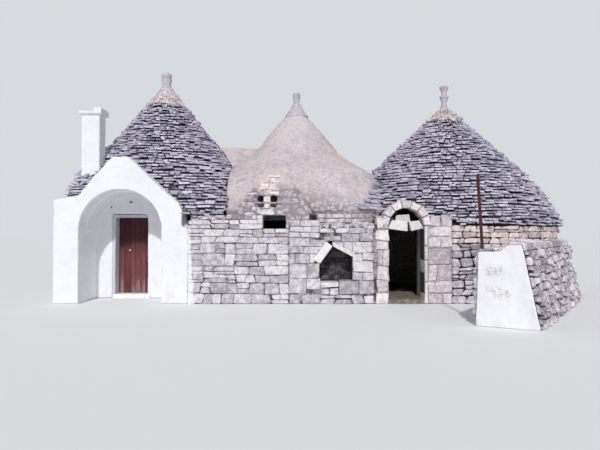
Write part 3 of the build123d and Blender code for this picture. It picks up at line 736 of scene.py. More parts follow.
# %% [markdown]
# Over the niche the wall is lower than beside it, and a ledge of loose
# rubble lies before the foot of the plastered cone. Small streaked stones
# close the foot of that cone under the lip of its plaster.


# %% Rubble on the ledges and the stones under the plaster's lip
def rubble(left, right, near, far, base, size, rng, fall=1.0):
    """Loose small stones on a ledge, higher at the back than at the front."""
    stones = []
    count = int((right - left) * (far - near) / (size * size) * 1.5)
    for _ in range(count):
        x, y = rng.uniform(left, right), rng.uniform(near, far)
        rise = (y - near) / (far - near) * size * fall
        half = size * rng.uniform(0.35, 0.75, 3) * (1, 0.8, 0.5)
        centre = (x, y, base + rise + half[2] * 0.6)
        corners = np.zeros((2, 2, 2, 3))
        for index in np.ndindex(2, 2, 2):
            side = np.array(index) * 2 - 1
            corners[index] = centre + side * half + rng.uniform(-0.2, 0.2, 3) * half
        stones.append(corners)
    return stones


def cone_foot(along, up, inward, half=2.59, squareness=3.6):
    """The rounded square on which the plastered cone stands."""
    edge = half * (1 - abs(along / half) ** squareness) ** (1 / squareness)
    return (along, -edge + inward, up)


foot_stones = courses(cone_foot, all_along(0.53, 1.86), [1.8, 1.93, 2.05, 2.16], (0.12, 0.36), rng,
                      proud=(0.02, 0.05), slip=0.01, wave=0.01)
foot_stones += rubble(0.56, 1.86, FRONT_Y + 0.02, -2.6, 1.8, 0.11, rng)
foot_stones += rubble(-2.36, -1.42, FRONT_Y - 0.01, -2.84, 1.99, 0.12, rng, 0.7)
lay("rubble_on_ledges", foot_stones, cobble_moulds, 42, wall_stone)

# %% The drum, with cream blocks under the eave
EAVE_BLOCKS = 1.43
EAVE_SHADOW = 1.86
drum_ends = all_along(-1.76 * DRUM_RADIUS, 2.33 * DRUM_RADIUS)
low_drum = courses(drum_line, drum_ends, levels_between(0, EAVE_BLOCKS, 0.17, rng), (0.12, 0.36), rng,
                   proud=(0.04, 0.1), wave=0.04, slip=0.022, joint=0.006, split=0.35, lean=0.05)
lay("drum_blocks", low_drum, cobble_moulds, 45, yard_stone)
high_drum = courses(drum_line, drum_ends, [EAVE_BLOCKS, 1.56, 1.71, EAVE_SHADOW], (0.1, 0.36), rng,
                    proud=(0.03, 0.06), wave=0.025, slip=0.018, joint=0.0, split=0.3, lean=0.04)
lay("upper_drum_blocks", high_drum, cobble_moulds, 47, cream_stone)

# %% [markdown]
# ## The yard wall
# The wall that runs back from the whitewashed end is rubble: small lilac
# stones of every shape, wedged together, with three rows of blocks on top.
# A ray cast down on the solid tells how high each block reaches.

# %% Lines along the yard wall's faces
YARD_CORNER = (4.2, -6.94)
YARD_TURN = math.radians(58.3)
YARD_RUN = (math.cos(YARD_TURN), math.sin(YARD_TURN))
YARD_THICK = 1.1
OUTER_LEAN, OUTER_HIGH = 0.3, 1.47
INNER_LEAN, INNER_HIGH = 0.05, 1.34


def in_yard(along, across, up):
    """A point by its distance along the wall and across it."""
    return (YARD_CORNER[0] + along * YARD_RUN[0] - across * YARD_RUN[1],
            YARD_CORNER[1] + along * YARD_RUN[1] + across * YARD_RUN[0], up)


def yard_right(along, up, inward):
    """The outer face, which leans in as it rises."""
    return in_yard(along, OUTER_LEAN * up / OUTER_HIGH + inward, up)


def yard_left(along, up, inward):
    """The inner face, which is nearly plumb."""
    return in_yard(-along, YARD_THICK - INNER_LEAN * up / INNER_HIGH - inward, up)


def yard_end(along, up, inward):
    """The far end, beside the drum."""
    return in_yard(YARD_END - inward, along, up)


def yard_top(along, across):
    """Height of the solid wall's top, found by a ray cast down on it, or none where the drum stands."""
    x, y, _ = in_yard(along, across, 0)
    point = yard_solid.ray_cast(Vector((x, y, 4)), Vector((0, 0, -1)))[0]
    return point.z if point else None


yard_solid = faces_of("yard_wall")
YARD_END = max((v.co.x - YARD_CORNER[0]) * YARD_RUN[0] + (v.co.y - YARD_CORNER[1]) * YARD_RUN[1]
               for v in solids["yard_wall"].data.vertices)
print("length of the yard wall:", YARD_END)

# %% Rubble on the yard wall's faces and blocks on its top
RUBBLE_FACE = {"proud": (0.04, 0.11), "wave": 0.045, "slip": 0.028, "joint": 0.009, "split": 0.35,
               "lean": 0.06}
YARD_SIZES = (0.09, 0.27)
YARD_START = 0.07
YARD_COURSE = 0.145
yard = courses(yard_right, all_along(YARD_START, YARD_END), levels_between(0, 1.36, YARD_COURSE, rng),
               YARD_SIZES, rng, **RUBBLE_FACE)
yard += courses(yard_left, all_along(-4.3, -YARD_START), levels_between(0, 1.26, YARD_COURSE, rng),
                YARD_SIZES, rng, **RUBBLE_FACE)
yard += courses(yard_end, lambda up: (0.2 * up, 0.72), levels_between(0, 1.36, YARD_COURSE, rng),
                YARD_SIZES, rng, **RUBBLE_FACE)
TOP_ROWS = ((0.26, 0.3, 1.34), (0.56, 0.26, 1.22), (0.82, 0.26, 1.22))
for across, wide, base in TOP_ROWS:
    along = YARD_START
    while along < YARD_END - 0.3:
        width = rng.uniform(0.18, 0.42)
        solid_top = yard_top(min(along + width / 2, YARD_END - 0.05), across + wide / 2)
        if solid_top:
            top = solid_top + rng.uniform(0.03, 0.07)
            stone = np.zeros((2, 2, 2, 3))
            for index in np.ndindex(2, 2, 2):
                slip = rng.uniform(-0.02, 0.02, 3)
                ahead = (0.003, width - 0.003)[index[0]]
                aside, up = (0.0, wide)[index[1]], (base, top)[index[2]]
                stone[index] = in_yard(along + ahead + slip[0], across + aside + slip[1], up + slip[2])
            yard.append(stone)
        along += width
lay("yard_wall_rubble", yard, cobble_moulds, 49, yard_stone)


# %% [markdown]
# ## Dressed stones given one by one
# The arch, the broken lintel, the niche and the doorway's piers are larger
# stones that a mason shaped. Each is given by its own four corners on the
# front, and comes from the finer moulds.


# %% Give a stone by its front corners
def facing(low_left, low_right, high_left, high_right, front, back):
    """A stone by the four corners of its face, from a front to a back."""
    corners = np.zeros((2, 2, 2, 3))
    for deep, y in enumerate((front, back)):
        corners[0, deep, 0] = (low_left[0], y, low_left[1])
        corners[1, deep, 0] = (low_right[0], y, low_right[1])
        corners[0, deep, 1] = (high_left[0], y, high_left[1])
        corners[1, deep, 1] = (high_right[0], y, high_right[1])
    return corners


def squared(left, right, low, high, front=FRONT_Y - 0.03, back=FRONT_Y + 0.3, slip=0.01, gap=0.004):
    """A nearly square stone whose corners slip a little."""
    a, b, c, d, e, f, g, h = rng.uniform(-slip, slip, 8)
    return facing((left + gap + a, low + gap + b), (right - gap + c, low + gap + d),
                  (left + gap + e, high - gap + f), (right - gap + g, high - gap + h), front, back)


print("shape of a stone's corners:", facing((0, 0), (1, 0), (0, 1), (1, 1), 0, 1).shape)

# %% The arch and the broken lintel
arch_low, arch_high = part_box("voussoir_arch")
ARCH_X, ARCH_Z = middle_x("voussoir_arch"), arch_low.z
ARCH_IN, ARCH_OUT = 0.425, (arch_high.x - arch_low.x) / 2
VOUSSOIRS = 7
ring = []
for count in range(VOUSSOIRS):
    left = math.pi * (1 - count / VOUSSOIRS) - 0.014
    right = math.pi * (1 - (count + 1) / VOUSSOIRS) + 0.014
    outer = ARCH_OUT + rng.uniform(-0.01, 0.03)
    ring.append(facing(
        (ARCH_X + ARCH_IN * math.cos(left), ARCH_Z + ARCH_IN * math.sin(left)),
        (ARCH_X + ARCH_IN * math.cos(right), ARCH_Z + ARCH_IN * math.sin(right)),
        (ARCH_X + outer * math.cos(left), ARCH_Z + outer * math.sin(left)),
        (ARCH_X + outer * math.cos(right), ARCH_Z + outer * math.sin(right)),
        FRONT_Y - rng.uniform(0.02, 0.05), FRONT_Y + 0.56))
lay("arch_stones", ring, fine_moulds, 51, arch_stone, ["voussoir_arch"])
LINTEL_FRONT, LINTEL_BACK = FRONT_Y + 0.03, FRONT_Y + 0.3
lintel = [
    facing((2.2, 1.79), (2.682, 1.725), (2.3, 1.995), (2.672, 1.965), LINTEL_FRONT, LINTEL_BACK),
    facing((2.765, 1.73), (3.06, 1.8), (2.702, 1.962), (2.95, 1.99), LINTEL_FRONT, LINTEL_BACK),
    facing((2.4, 1.95), (2.77, 1.95), (2.42, 2.12), (2.74, 2.14), FRONT_Y + 0.15, LINTEL_BACK),
]
lay("lintel_stones", lintel, fine_moulds, 53, limed_stone, ["broken_lintel"])

# %% The doorway's two piers
LEFT_PIER = (1.92, 2.215)
RIGHT_PIER = (3.065, 3.72)
pier = [squared(*LEFT_PIER, low, high, back=FRONT_Y + 0.6, slip=0.03) for low, high in
        ((0.0, 0.27), (0.27, 0.56), (0.56, 0.89), (1.31, 1.5), (1.5, 1.77))]
pier += [
    squared(1.95, 2.06, 0.9, 1.3, slip=0.02),
    squared(2.06, LEFT_PIER[1], 0.9, 1.3, back=FRONT_Y + 0.6, slip=0.02),
    squared(1.92, 2.09, 1.8, 2.06, slip=0.02),
    squared(2.1, 2.2, 1.79, 1.95, slip=0.015),
]
LIMED_EDGE = 3.15
edge = [squared(RIGHT_PIER[0], LIMED_EDGE, low, high, FRONT_Y - 0.02, FRONT_Y + 0.55, 0.006)
        for low, high in ((0.0, 0.52), (0.52, 1.045), (1.045, 1.38), (1.38, 1.86))]
lay("limed_edge_of_doorway", edge, fine_moulds, 54, limed_stone)
RIGHT_COURSES = ((0.0, 0.27, 3.5), (0.27, 0.55, 3.3), (0.55, 0.93, 3.36), (0.93, 1.33, 3.68),
                 (1.33, 1.6, 3.46), (1.6, 1.83, 3.3))
for low, high, cut in RIGHT_COURSES:
    for left, right in ((LIMED_EDGE, cut), (cut, RIGHT_PIER[1])):
        if right - left > 0.1:
            front = FRONT_Y - rng.uniform(0.01, 0.04)
            pier.append(squared(left, right, low, high, front, FRONT_Y + 0.4, 0.022))
pier += [squared(3.19, 3.45, 1.84, 2.1, slip=0.02), squared(3.46, 3.72, 1.84, 2.13, slip=0.02)]
lay("doorway_pier_stones", pier, fine_moulds, 55, pier_stone)

# %% The niche
niche_stones = [
    facing((0.59, 0.385), (1.02, 0.41), (0.575, 0.515), (1.02, 0.515), FRONT_Y - 0.05, FRONT_Y + 0.5),
    facing((0.405, 1.04), (0.58, 0.955), (0.725, 1.485), (0.88, 1.375), FRONT_Y - 0.055, FRONT_Y + 0.3),
    facing((0.88, 1.37), (1.35, 1.12), (0.87, 1.485), (1.43, 1.205), FRONT_Y - 0.05, FRONT_Y + 0.3),
]
lay("niche_stones", niche_stones, fine_moulds, 57, limed_stone,
    ["niche_sill", "niche_head"])
head_sides = [
    facing((1.03, 0.215), (1.5, 0.235), (1.03, 0.545), (1.5, 0.55), FRONT_Y - 0.04, FRONT_Y + 0.5),
    facing((0.335, 0.975), (0.43, 0.975), (0.335, 1.185), (0.53, 1.185), FRONT_Y - 0.02, FRONT_Y + 0.2),
    facing((0.195, 1.195), (0.53, 1.195), (0.195, 1.355), (0.655, 1.355), FRONT_Y - 0.03, FRONT_Y + 0.2),
    facing((0.33, 1.365), (0.66, 1.365), (0.33, 1.52), (0.77, 1.52), FRONT_Y - 0.02, FRONT_Y + 0.2),
    facing((0.92, 1.45), (1.14, 1.34), (0.92, 1.5), (1.14, 1.475), FRONT_Y - 0.01, FRONT_Y + 0.2),
    facing((1.15, 1.34), (1.345, 1.24), (1.15, 1.47), (1.345, 1.47), FRONT_Y - 0.02, FRONT_Y + 0.2),
]
lay("stones_round_niche_head", head_sides, fine_moulds, 56, wall_stone)

# %% Rubble at the back of the niche
back_line = straight(0, FRONT_Y + 0.5, 1, 0)
niche_low, niche_high = 0.53, 1.36


def niche_inside(height):
    """The niche's sides: upright to its springing, then leaning to the apex."""
    left = np.interp(height, (0.97, 1.38), (0.58, 0.87))
    right = np.interp(height, (1.15, 1.38), (1.34, 0.87))
    return float(left), float(right)


back_beds = levels_between(niche_low, niche_high, 0.13, rng)
back_stones = courses(back_line, niche_inside, back_beds, (0.09, 0.24), rng, proud=(0.0, 0.04), back=0.0,
                      slip=0.014, joint=0.006, lean=0.03)
lay("stones_in_niche", back_stones, cobble_moulds, 58, niche_shade)

# %% [markdown]
# ## The small gable
# The gable over the eave was plastered, and part of the plaster has fallen.
# Cream stones show in its head and rubble at its left foot, a bright slab lies
# over the right vent, and pinkish stones stand between the vents and over the
# window. All but the rubble are again listed one by one.

# %% Stones that show on the small gable
BRIGHT_STONES = [
    ((-0.64, 2.6), (-0.39, 2.575), (-0.62, 2.665), (-0.4, 2.68)),
    ((-0.91, 2.15), (-0.81, 2.14), (-0.93, 2.29), (-0.84, 2.24)),
    ((-0.9, 1.97), (-0.8, 1.97), (-0.93, 2.1), (-0.8, 2.11)),
]
PINKISH_STONES = [
    ((-0.77, 2.43), (-0.6, 2.43), (-0.765, 2.585), (-0.615, 2.585)),
    ((-0.745, 2.28), (-0.63, 2.28), (-0.75, 2.42), (-0.62, 2.42)),
    ((-0.85, 2.12), (-0.5, 2.125), (-0.8, 2.25), (-0.54, 2.27)),
    ((-1.16, 2.6), (-0.92, 2.6), (-1.1, 2.64), (-0.93, 2.65)),
    ((-0.66, 3.03), (-0.36, 3.02), (-0.64, 3.065), (-0.37, 3.055)),
]
CREAM_HEAD = [
    ((-0.88, 2.69), (-0.65, 2.7), (-0.84, 2.86), (-0.64, 2.88)),
    ((-0.64, 2.7), (-0.42, 2.69), (-0.63, 2.88), (-0.45, 2.85)),
    ((-0.79, 2.88), (-0.61, 2.89), (-0.72, 3.0), (-0.6, 3.02)),
    ((-0.6, 2.89), (-0.46, 2.87), (-0.59, 3.02), (-0.48, 2.99)),
]
bright = [facing(*corners, FRONT_Y - 0.04, FRONT_Y + 0.12) for corners in BRIGHT_STONES]
pinkish = [facing(*corners, FRONT_Y - 0.025, FRONT_Y + 0.12) for corners in PINKISH_STONES]
cream = [facing(*corners, FRONT_Y - 0.035, FRONT_Y + 0.25) for corners in CREAM_HEAD]
lay("cream_head_of_small_gable", cream, cobble_moulds, 62, cream_stone)
lay("bright_stones_of_small_gable", bright, fine_moulds, 59, limed_stone)
lay("pinkish_stones_of_small_gable", pinkish, fine_moulds, 61, pier_stone)


# %% Rubble at the small gable's foot and beside its window
def gable_foot(height):
    """Where the rubble at the gable's left foot starts and ends."""
    return float(np.interp(height, (2.0, 2.33, 2.5), (-1.36, -1.34, -1.2))), -0.93


foot_rubble = courses(front_line, gable_foot, [2.0, 2.11, 2.2, 2.31, 2.42, 2.53], (0.09, 0.22), rng,
                      proud=(0.01, 0.04), slip=0.014, lean=0.03)
foot_rubble += courses(front_line, all_along(-0.46, -0.28), [2.12, 2.24, 2.36, 2.5], (0.09, 0.2), rng,
                       proud=(0.0, 0.015), slip=0.014, lean=0.03)
lay("rubble_of_small_gable", foot_rubble, cobble_moulds, 60, yard_stone)

# %% [markdown]
# ## Plaster and whitewash
# The porch, the chimney and the middle cone have a skin of lime. Years of
# coats leave soft edges and a lumpy face. The solid is copied, remeshed into
# small even faces, smoothed, and pushed about by a cloud pattern, so that
# the copy can stand in for the sharp solid. Where the faces are many, a
# last step joins those that the flat stretches don't need.


# %% Soften solids into one lumpy skin
def modifier(piece, kind, **settings):
    """Add a modifier with its settings and apply it."""
    made = piece.modifiers.new(kind.lower(), kind)
    for key, value in settings.items():
        setattr(made, key, value)
    bpy.context.view_layer.objects.active = piece
    bpy.ops.object.modifier_apply(modifier=made.name)


def push_about(piece, size, strength, middle):
    """Push a face in and out by a cloud pattern of a size, where its middle grey stays in place."""
    pattern = bpy.data.textures.new("lime_clouds", "CLOUDS")
    pattern.noise_scale = size
    pattern.noise_depth = 2
    modifier(piece, "DISPLACE", texture=pattern, strength=strength, mid_level=middle, texture_coords="LOCAL")


def lime_skin(name, nodes, voxel, finish, lumps, soften, keep=1.0):
    """One lumpy skin over some solids, in their place; each lump has a size and a height."""
    copy_solids(name, nodes)
    bpy.ops.transform.shrink_fatten(value=0.002)
    skin = finish_edit()
    modifier(skin, "REMESH", mode="VOXEL", voxel_size=voxel)
    modifier(skin, "SMOOTH", factor=0.6, iterations=soften)
    for size, strength in lumps:
        push_about(skin, size, strength, 0.6)
    if keep < 1:
        modifier(skin, "DECIMATE", ratio=keep)
    bpy.ops.object.shade_smooth()
    skin.name = name
    skin.data.name = name
    print(name, "faces:", len(skin.data.polygons))
    return own(skin, finish, replaced=nodes)


# %% [markdown]
# Limewash is almost pure white, with a faint veil of dirt. The old plaster of
# the middle cone is a pinkish grey, grainy, and paler towards its neck. Marks
# and pits that the house has are placed where they are: holes over the door,
# scuffs on the whitewashed end of the yard wall, and on the small gable thin
# plaster over stones. Painted shade greys the gable's right slope and darkens a recess beside it.


# %% The finish of limed faces
def lime(name, clean, worn, dirt, dirty, grainy, relief=0.16):
    """Clean and worn lime under veils of dirt, with more stains near the ground."""
    finish = Finish(name)
    broad = finish.noise(1.1, 5, 0.6)
    veil = finish.noise(3.4, 5, 0.68, finish.stretched(1, 1, 0.55))
    grain = finish.noise(30, 6, 0.75)
    colour = finish.mix((broad * 0.6 + veil * 0.6).ramp(0.48, 0.78), clean, worn)
    foot = 1 - finish.z.ramp(0, 0.4)
    stains = (veil * 0.8 + grain * 0.5 + foot * 0.12).ramp(0.72, 0.95) * dirty
    colour = finish.mix(stains, colour, dirt)
    colour = finish.bright(colour, grain * grainy + (1 - grainy / 2))
    height = broad * 0.8 + veil * 0.5 + grain * relief
    return finish, colour, 0.9 - grain * 0.1, height


def limewash():
    """The porch's limewash, with scuffs and pits where the house has them."""
    finish, colour, rough, height = lime("thick_limewash", LIME_WHITE, srgb(238, 237, 241),
                                         srgb(214, 209, 210), 0.5, 0.08)
    speckle = finish.noise(24, 4, 0.7).ramp(0.44, 0.56)
    for centre, size in SCUFFS:
        colour = finish.mix(finish.spot(centre, size) * speckle * 0.7, colour, srgb(196, 180, 180))
    for centre, size in PITS:
        colour = finish.mix(finish.spot(centre, size), colour, srgb(96, 84, 78))
    covered_rubble = finish.cells(3.4, place=finish.stretched(1, 1, 1.5))
    return finish.feed(colour, rough, height - covered_rubble * 0.5, 0.02)


def old_plaster():
    """The plaster of the middle cone and the small gable, whose stones show through, with painted shade on
    the gable's right slope and in a recess beside it.
    """
    finish, colour, rough, height = lime("pinkish_roof_plaster", srgb(212, 203, 207), srgb(188, 177, 183),
                                         srgb(158, 145, 152), 0.9, 0.5, 0.6)
    warm = finish.noise(2.1, 4, 0.65).ramp(0.46, 0.6) * 0.6
    colour = finish.mix(warm, colour, srgb(222, 204, 196))
    speckle = finish.noise(11, 4, 0.75)
    colour = finish.mix(speckle.ramp(0.54, 0.64) * 0.55, colour, srgb(234, 226, 228))
    colour = finish.mix((1 - speckle.ramp(0.36, 0.46)) * 0.55, colour, srgb(158, 146, 154))
    colour = finish.mix(finish.z.ramp(4.0, 5.1) * 0.6, colour, srgb(220, 216, 220))
    before = 1 - finish.y.ramp(-2.6, -2.4)
    thin = before * finish.z.within(1.9, 2.7, 0.2)
    stones_under = finish.cells(9, place=finish.stretched(1, 1, 1.4)) + finish.noise(14, 4, 0.7) * 0.7
    colour = finish.mix(stones_under.ramp(0.62, 0.95) * thin * 0.75, colour, srgb(132, 122, 134))
    # painted shade: the small gable's right slope is greyed
    slope_x = finish.x + (finish.z - 2.83) * 0.7 + 0.43
    painted_slope_shade = slope_x.within(-0.05, 0.08, 0.05) * finish.z.within(2.08, 2.84, 0.1)
    painted_slope_shade = painted_slope_shade * (1 - finish.y.ramp(-1.9, -1.7))
    colour = finish.mix(painted_slope_shade * 0.45, colour, srgb(164, 158, 172))
    head = finish.spot((-0.63, -3.0, 2.86), 0.34) * finish.noise(7, 4, 0.7).ramp(0.4, 0.56)
    colour = finish.mix(head * 0.75, colour, srgb(234, 226, 222))
    # painted shade: a dark recess beside the small gable
    beside = finish.x.within(0.33, 0.5, 0.02) * finish.z.within(1.7, 2.12, 0.04)
    painted_recess_shade = beside * (1 - finish.y.ramp(-2.46, -2.4))
    colour = finish.mix(painted_recess_shade, colour, srgb(62, 56, 58))
    return finish.feed(colour, rough, height + speckle * 0.4 - stones_under * thin * 0.8, 0.02)


SCUFFS = [((3.48, -6.5, 0.98), 0.13), ((3.62, -6.58, 1.0), 0.12), ((3.46, -6.49, 0.66), 0.09),
          ((3.6, -6.57, 0.62), 0.13), ((3.73, -6.65, 0.6), 0.09)]
PITS = [((-4.29, -1.76, 2.495), 0.045), ((-4.8, -1.76, 2.36), 0.03), ((-4.97, -3.0, 2.02), 0.03)]
whitewash = limewash()
roof_lime = old_plaster()
print("limed finishes made:", whitewash.name, roof_lime.name)

# %% The limed skins
PORCH = ["gable_arch", "porch_vault", "porch_pier", "party_wall", "door_wall_left", "door_wall_right",
         "door_head"]
lime_skin("whitewashed_porch", PORCH, 0.03, whitewash,
          ((0.5, 0.022), (0.2, 0.014), (0.08, 0.006)), 3, 0.8)
lime_skin("chimney", ["chimney_stack", "chimney_cap"], 0.014, whitewash,
          ((0.3, 0.01), (0.06, 0.004)), 2)
lime_skin("whitewashed_slab", ["whitewashed_end_face"], 0.016, whitewash,
          ((0.3, 0.02), (0.08, 0.008)), 3)
lime_skin("plastered_cone", ["roof_cone_2", "gablet_roof"], 0.04, roof_lime,
          ((0.9, 0.06), (0.25, 0.03), (0.08, 0.012)), 7)
lime_skin("plastered_gable", ["gablet_front"], 0.02, roof_lime,
          ((0.3, 0.02), (0.08, 0.01)), 3)

# %% [markdown]
# ## Pinnacles
# Each cone ends in a mortar cap and a finial that a mason turned by eye. A
# ring of edges is extruded upwards and resized again and again, as a potter
# pulls up a pot. Small stones are bedded in the mortar of two of the caps.


# %% Pull up a round piece ring by ring
def turned(name, x, rings, finish, replaced, rough, size, sides=32):
    """A round piece from its rings, each a radius and a height, then made a little rough."""
    radius, height = rings[0]
    foot = (x, 0, height)
    bpy.ops.object.select_all(action="DESELECT")
    bpy.ops.mesh.primitive_circle_add(vertices=sides, radius=radius, fill_type="NGON", location=foot)
    bpy.ops.object.mode_set(mode="EDIT")
    for (radius, height), (wider, higher) in zip(rings, rings[1:]):
        bpy.ops.mesh.extrude_region_move(TRANSFORM_OT_translate={"value": (0, 0, higher - height)})
        bpy.ops.transform.resize(value=(wider / radius, wider / radius, 1))
    bpy.ops.mesh.select_all(action="SELECT")
    bpy.ops.mesh.normals_make_consistent(inside=False)
    piece = finish_edit()
    bpy.ops.object.transform_apply(location=True, rotation=True, scale=True)
    modifier(piece, "SUBSURF", levels=1, render_levels=1)
    push_about(piece, size, rough * 2, 0.5)
    bpy.ops.object.shade_smooth()
    piece.name = name
    piece.data.name = name
    give_tone(piece.data, [0.6] * len(piece.data.vertices))
    print(name, "faces:", len(piece.data.polygons))
    return own(piece, finish, replaced=replaced)


# %% The three finials and the stones in two caps
FINIAL_1 = [(0.6, 5.31), (0.51, 5.42), (0.4, 5.55), (0.32, 5.66), (0.24, 5.79), (0.165, 5.9),
            (0.125, 5.96), (0.122, 6.0), (0.14, 6.09), (0.15, 6.145), (0.132, 6.172), (0.146, 6.2),
            (0.15, 6.26), (0.142, 6.315), (0.1, 6.35), (0.04, 6.362)]
FINIAL_2 = [(0.4, 4.99), (0.33, 5.09), (0.255, 5.2), (0.16, 5.34), (0.1, 5.44), (0.086, 5.5),
            (0.092, 5.58), (0.104, 5.64), (0.112, 5.69), (0.106, 5.74), (0.07, 5.775), (0.03, 5.782)]
FINIAL_3 = [(0.55, 4.87), (0.47, 4.96), (0.33, 5.05), (0.21, 5.17), (0.15, 5.235), (0.125, 5.25),
            (0.142, 5.264), (0.11, 5.33), (0.08, 5.44), (0.077, 5.47), (0.09, 5.54), (0.125, 5.62),
            (0.136, 5.64), (0.132, 5.662), (0.1, 5.676), (0.086, 5.69), (0.084, 5.78), (0.09, 5.81),
            (0.118, 5.88), (0.132, 5.905), (0.132, 5.955), (0.09, 5.966)]
FINIALS = (
    (1, CONE_1_X, FINIAL_1, 0.014, 0.13),
    (2, CONE_2_X, FINIAL_2, 0.01, 0.1),
    (3, CONE_3_X, FINIAL_3, 0.007, 0.12),
)
for count, axis_x, rings, rough, size in FINIALS:
    turned(f"finial_{count}", axis_x, rings, finial_stone, [f"pinnacle_{count}"],
           rough, size)
for count, axis_x, low, high in ((1, CONE_1_X, 5.34, 5.66), (3, CONE_3_X, 4.9, 5.19)):
    cap = slab_courses(f"pinnacle_{count}", axis_x, low, high, 6 + count, rise=(0.05, 0.085),
                       widths=(0.08, 0.24), sunk=(-0.03, 0.01), depth=0.12, lift=0.0, thin=(0.85, 1.05))
    lay(f"cap_stones_{count}", cap, slab_moulds, 60 + count, mortar)

# %% [markdown]
# ## The plank door
# The door is vertical boards under old dark red paint, rubbed through near
# the ground and with painted shade at the top, deep in a plain frame of pale grey paint.
# Each board is a squared piece with eased edges, and carries its own tone so
# that the boards differ.


# %% A squared piece with eased edges
def eased(name, low, high, ease):
    """A squared piece between two corners, with its edges rounded off."""
    middle_point = [(a + b) / 2 for a, b in zip(low, high)]
    bpy.ops.object.select_all(action="DESELECT")
    bpy.ops.mesh.primitive_cube_add(size=1, location=middle_point)
    piece = bpy.context.object
    piece.scale = [b - a for a, b in zip(low, high)]
    bpy.ops.object.transform_apply(location=True, rotation=True, scale=True)
    start_edit()
    bpy.ops.mesh.bevel(offset=ease, segments=2, affect="EDGES")
    finish_edit()
    piece.name = name
    return piece


def joined(name, pieces, tones, finish, body="house", replaced=()):
    """Several pieces as one, each with its own tone."""
    bpy.ops.object.select_all(action="DESELECT")
    for piece, tone in zip(pieces, tones):
        give_tone(piece.data, [tone] * len(piece.data.vertices))
        piece.select_set(True)
    bpy.context.view_layer.objects.active = pieces[0]
    bpy.ops.object.join()
    whole = bpy.context.object
    whole.name = name
    whole.data.name = name
    return own(whole, finish, body, replaced)


# %% Old paint
def old_paint(name, paint, worn_paint, wood, wear, shade=None):
    """Streaky paint, rubbed to the wood near the ground, and with painted shade at the top where a shade
    colour is given.
    """
    finish = Finish(name)
    tone = finish.tone()
    streaks = finish.noise(14, 5, 0.6, finish.stretched(1, 1, 0.09))
    grain = finish.noise(60, 4, 0.7, finish.stretched(1, 1, 0.05))
    colour = finish.mix((streaks * 0.9 + tone * 0.3).ramp(0.4, 0.8), paint, worn_paint)
    low = 1 - finish.z.ramp(0.1, 1.1)
    rubbed = (streaks * 0.7 + grain * 0.5 + low * 0.34 + tone * 0.1 - wear).ramp(0, 0.2)
    colour = finish.mix(rubbed * 0.8, colour, wood)
    if shade:
        # painted shade of the porch arch over the door's top
        painted_shade_top = (finish.z + streaks * 0.5).ramp(1.35, 1.75)
        colour = finish.mix(painted_shade_top * 0.75, colour, shade)
    return finish.feed(colour, 0.62 + rubbed * 0.25, grain * 0.7 + streaks * 0.4 - rubbed * 0.3, 0.004)


# the last colour is painted shade for the door's top
door_paint = old_paint("weathered_red_paint", srgb(92, 47, 51), srgb(124, 74, 75), srgb(176, 150, 144), 0.94,
                       srgb(62, 30, 34))
frame_paint = old_paint("weathered_grey_paint", srgb(218, 220, 226), srgb(188, 190, 198),
                        srgb(116, 109, 108), 1.0)
print("paints made:", door_paint.name, frame_paint.name)

# %% The boards
leaf_low, leaf_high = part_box("door_leaf")
BOARD_EDGES = [0, 0.135, 0.285, 0.42, 0.56, 0.69, 0.82]
HALF_GAP = 0.0015
boards = []
for left, right in zip(BOARD_EDGES, BOARD_EDGES[1:]):
    near = leaf_low.y + rng.uniform(0, 0.004)
    boards.append(eased("board", (leaf_low.x + left + HALF_GAP, near, leaf_low.z),
                        (leaf_low.x + right - HALF_GAP, leaf_high.y - 0.001, leaf_high.z), 0.004))
joined("door_boards", boards, rng.uniform(0, 1, len(boards)), door_paint, "door",
       ["door_leaf"])
print("boards:", len(boards))

# %% The frame
frame_low, frame_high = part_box("door_frame")
POST = 0.07
SHORT_POST = 0.09
inner_top = frame_high.z - POST
posts = [eased(name, low, high, 0.006) for name, low, high in (
    ("left_post", frame_low, (frame_low.x + POST, frame_high.y, inner_top)),
    ("short_right_post", (frame_high.x - POST, frame_high.y - SHORT_POST, frame_low.z), frame_high),
    ("rail", (frame_low.x, frame_low.y, inner_top), (frame_high.x - POST, frame_high.y, frame_high.z)),
)]
joined("grey_door_frame", posts, [0.3, 0.5, 0.7], frame_paint, replaced=["door_frame"])
print("pieces in the frame:", len(posts))

# %% [markdown]
# ## Iron
# The knob is worn pale paint on iron. The door's hinges and the post on the
# yard wall are rusty. Their solids have the right shape already, so they only
# get a finish with small patches and pits.


# %% Iron finishes
def iron(name, first, second, pits):
    """Iron in two patchy colours, with pits of a given depth."""
    finish = Finish(name)
    patches = finish.noise(18, 5, 0.65)
    grain = finish.noise(160, 3, 0.6)
    colour = finish.mix((patches * 0.9 + grain * 0.2).ramp(0.4, 0.75), first, second)
    return finish.feed(colour, 0.75 + patches * 0.2, grain * 0.5 + patches, pits)


rust = iron("brown_rust", srgb(92, 50, 46), srgb(60, 36, 38), 0.003)
pale_iron = iron("worn_pale_paint", srgb(206, 198, 190), srgb(160, 148, 136), 0.001)
print("iron finishes made:", rust.name, pale_iron.name)
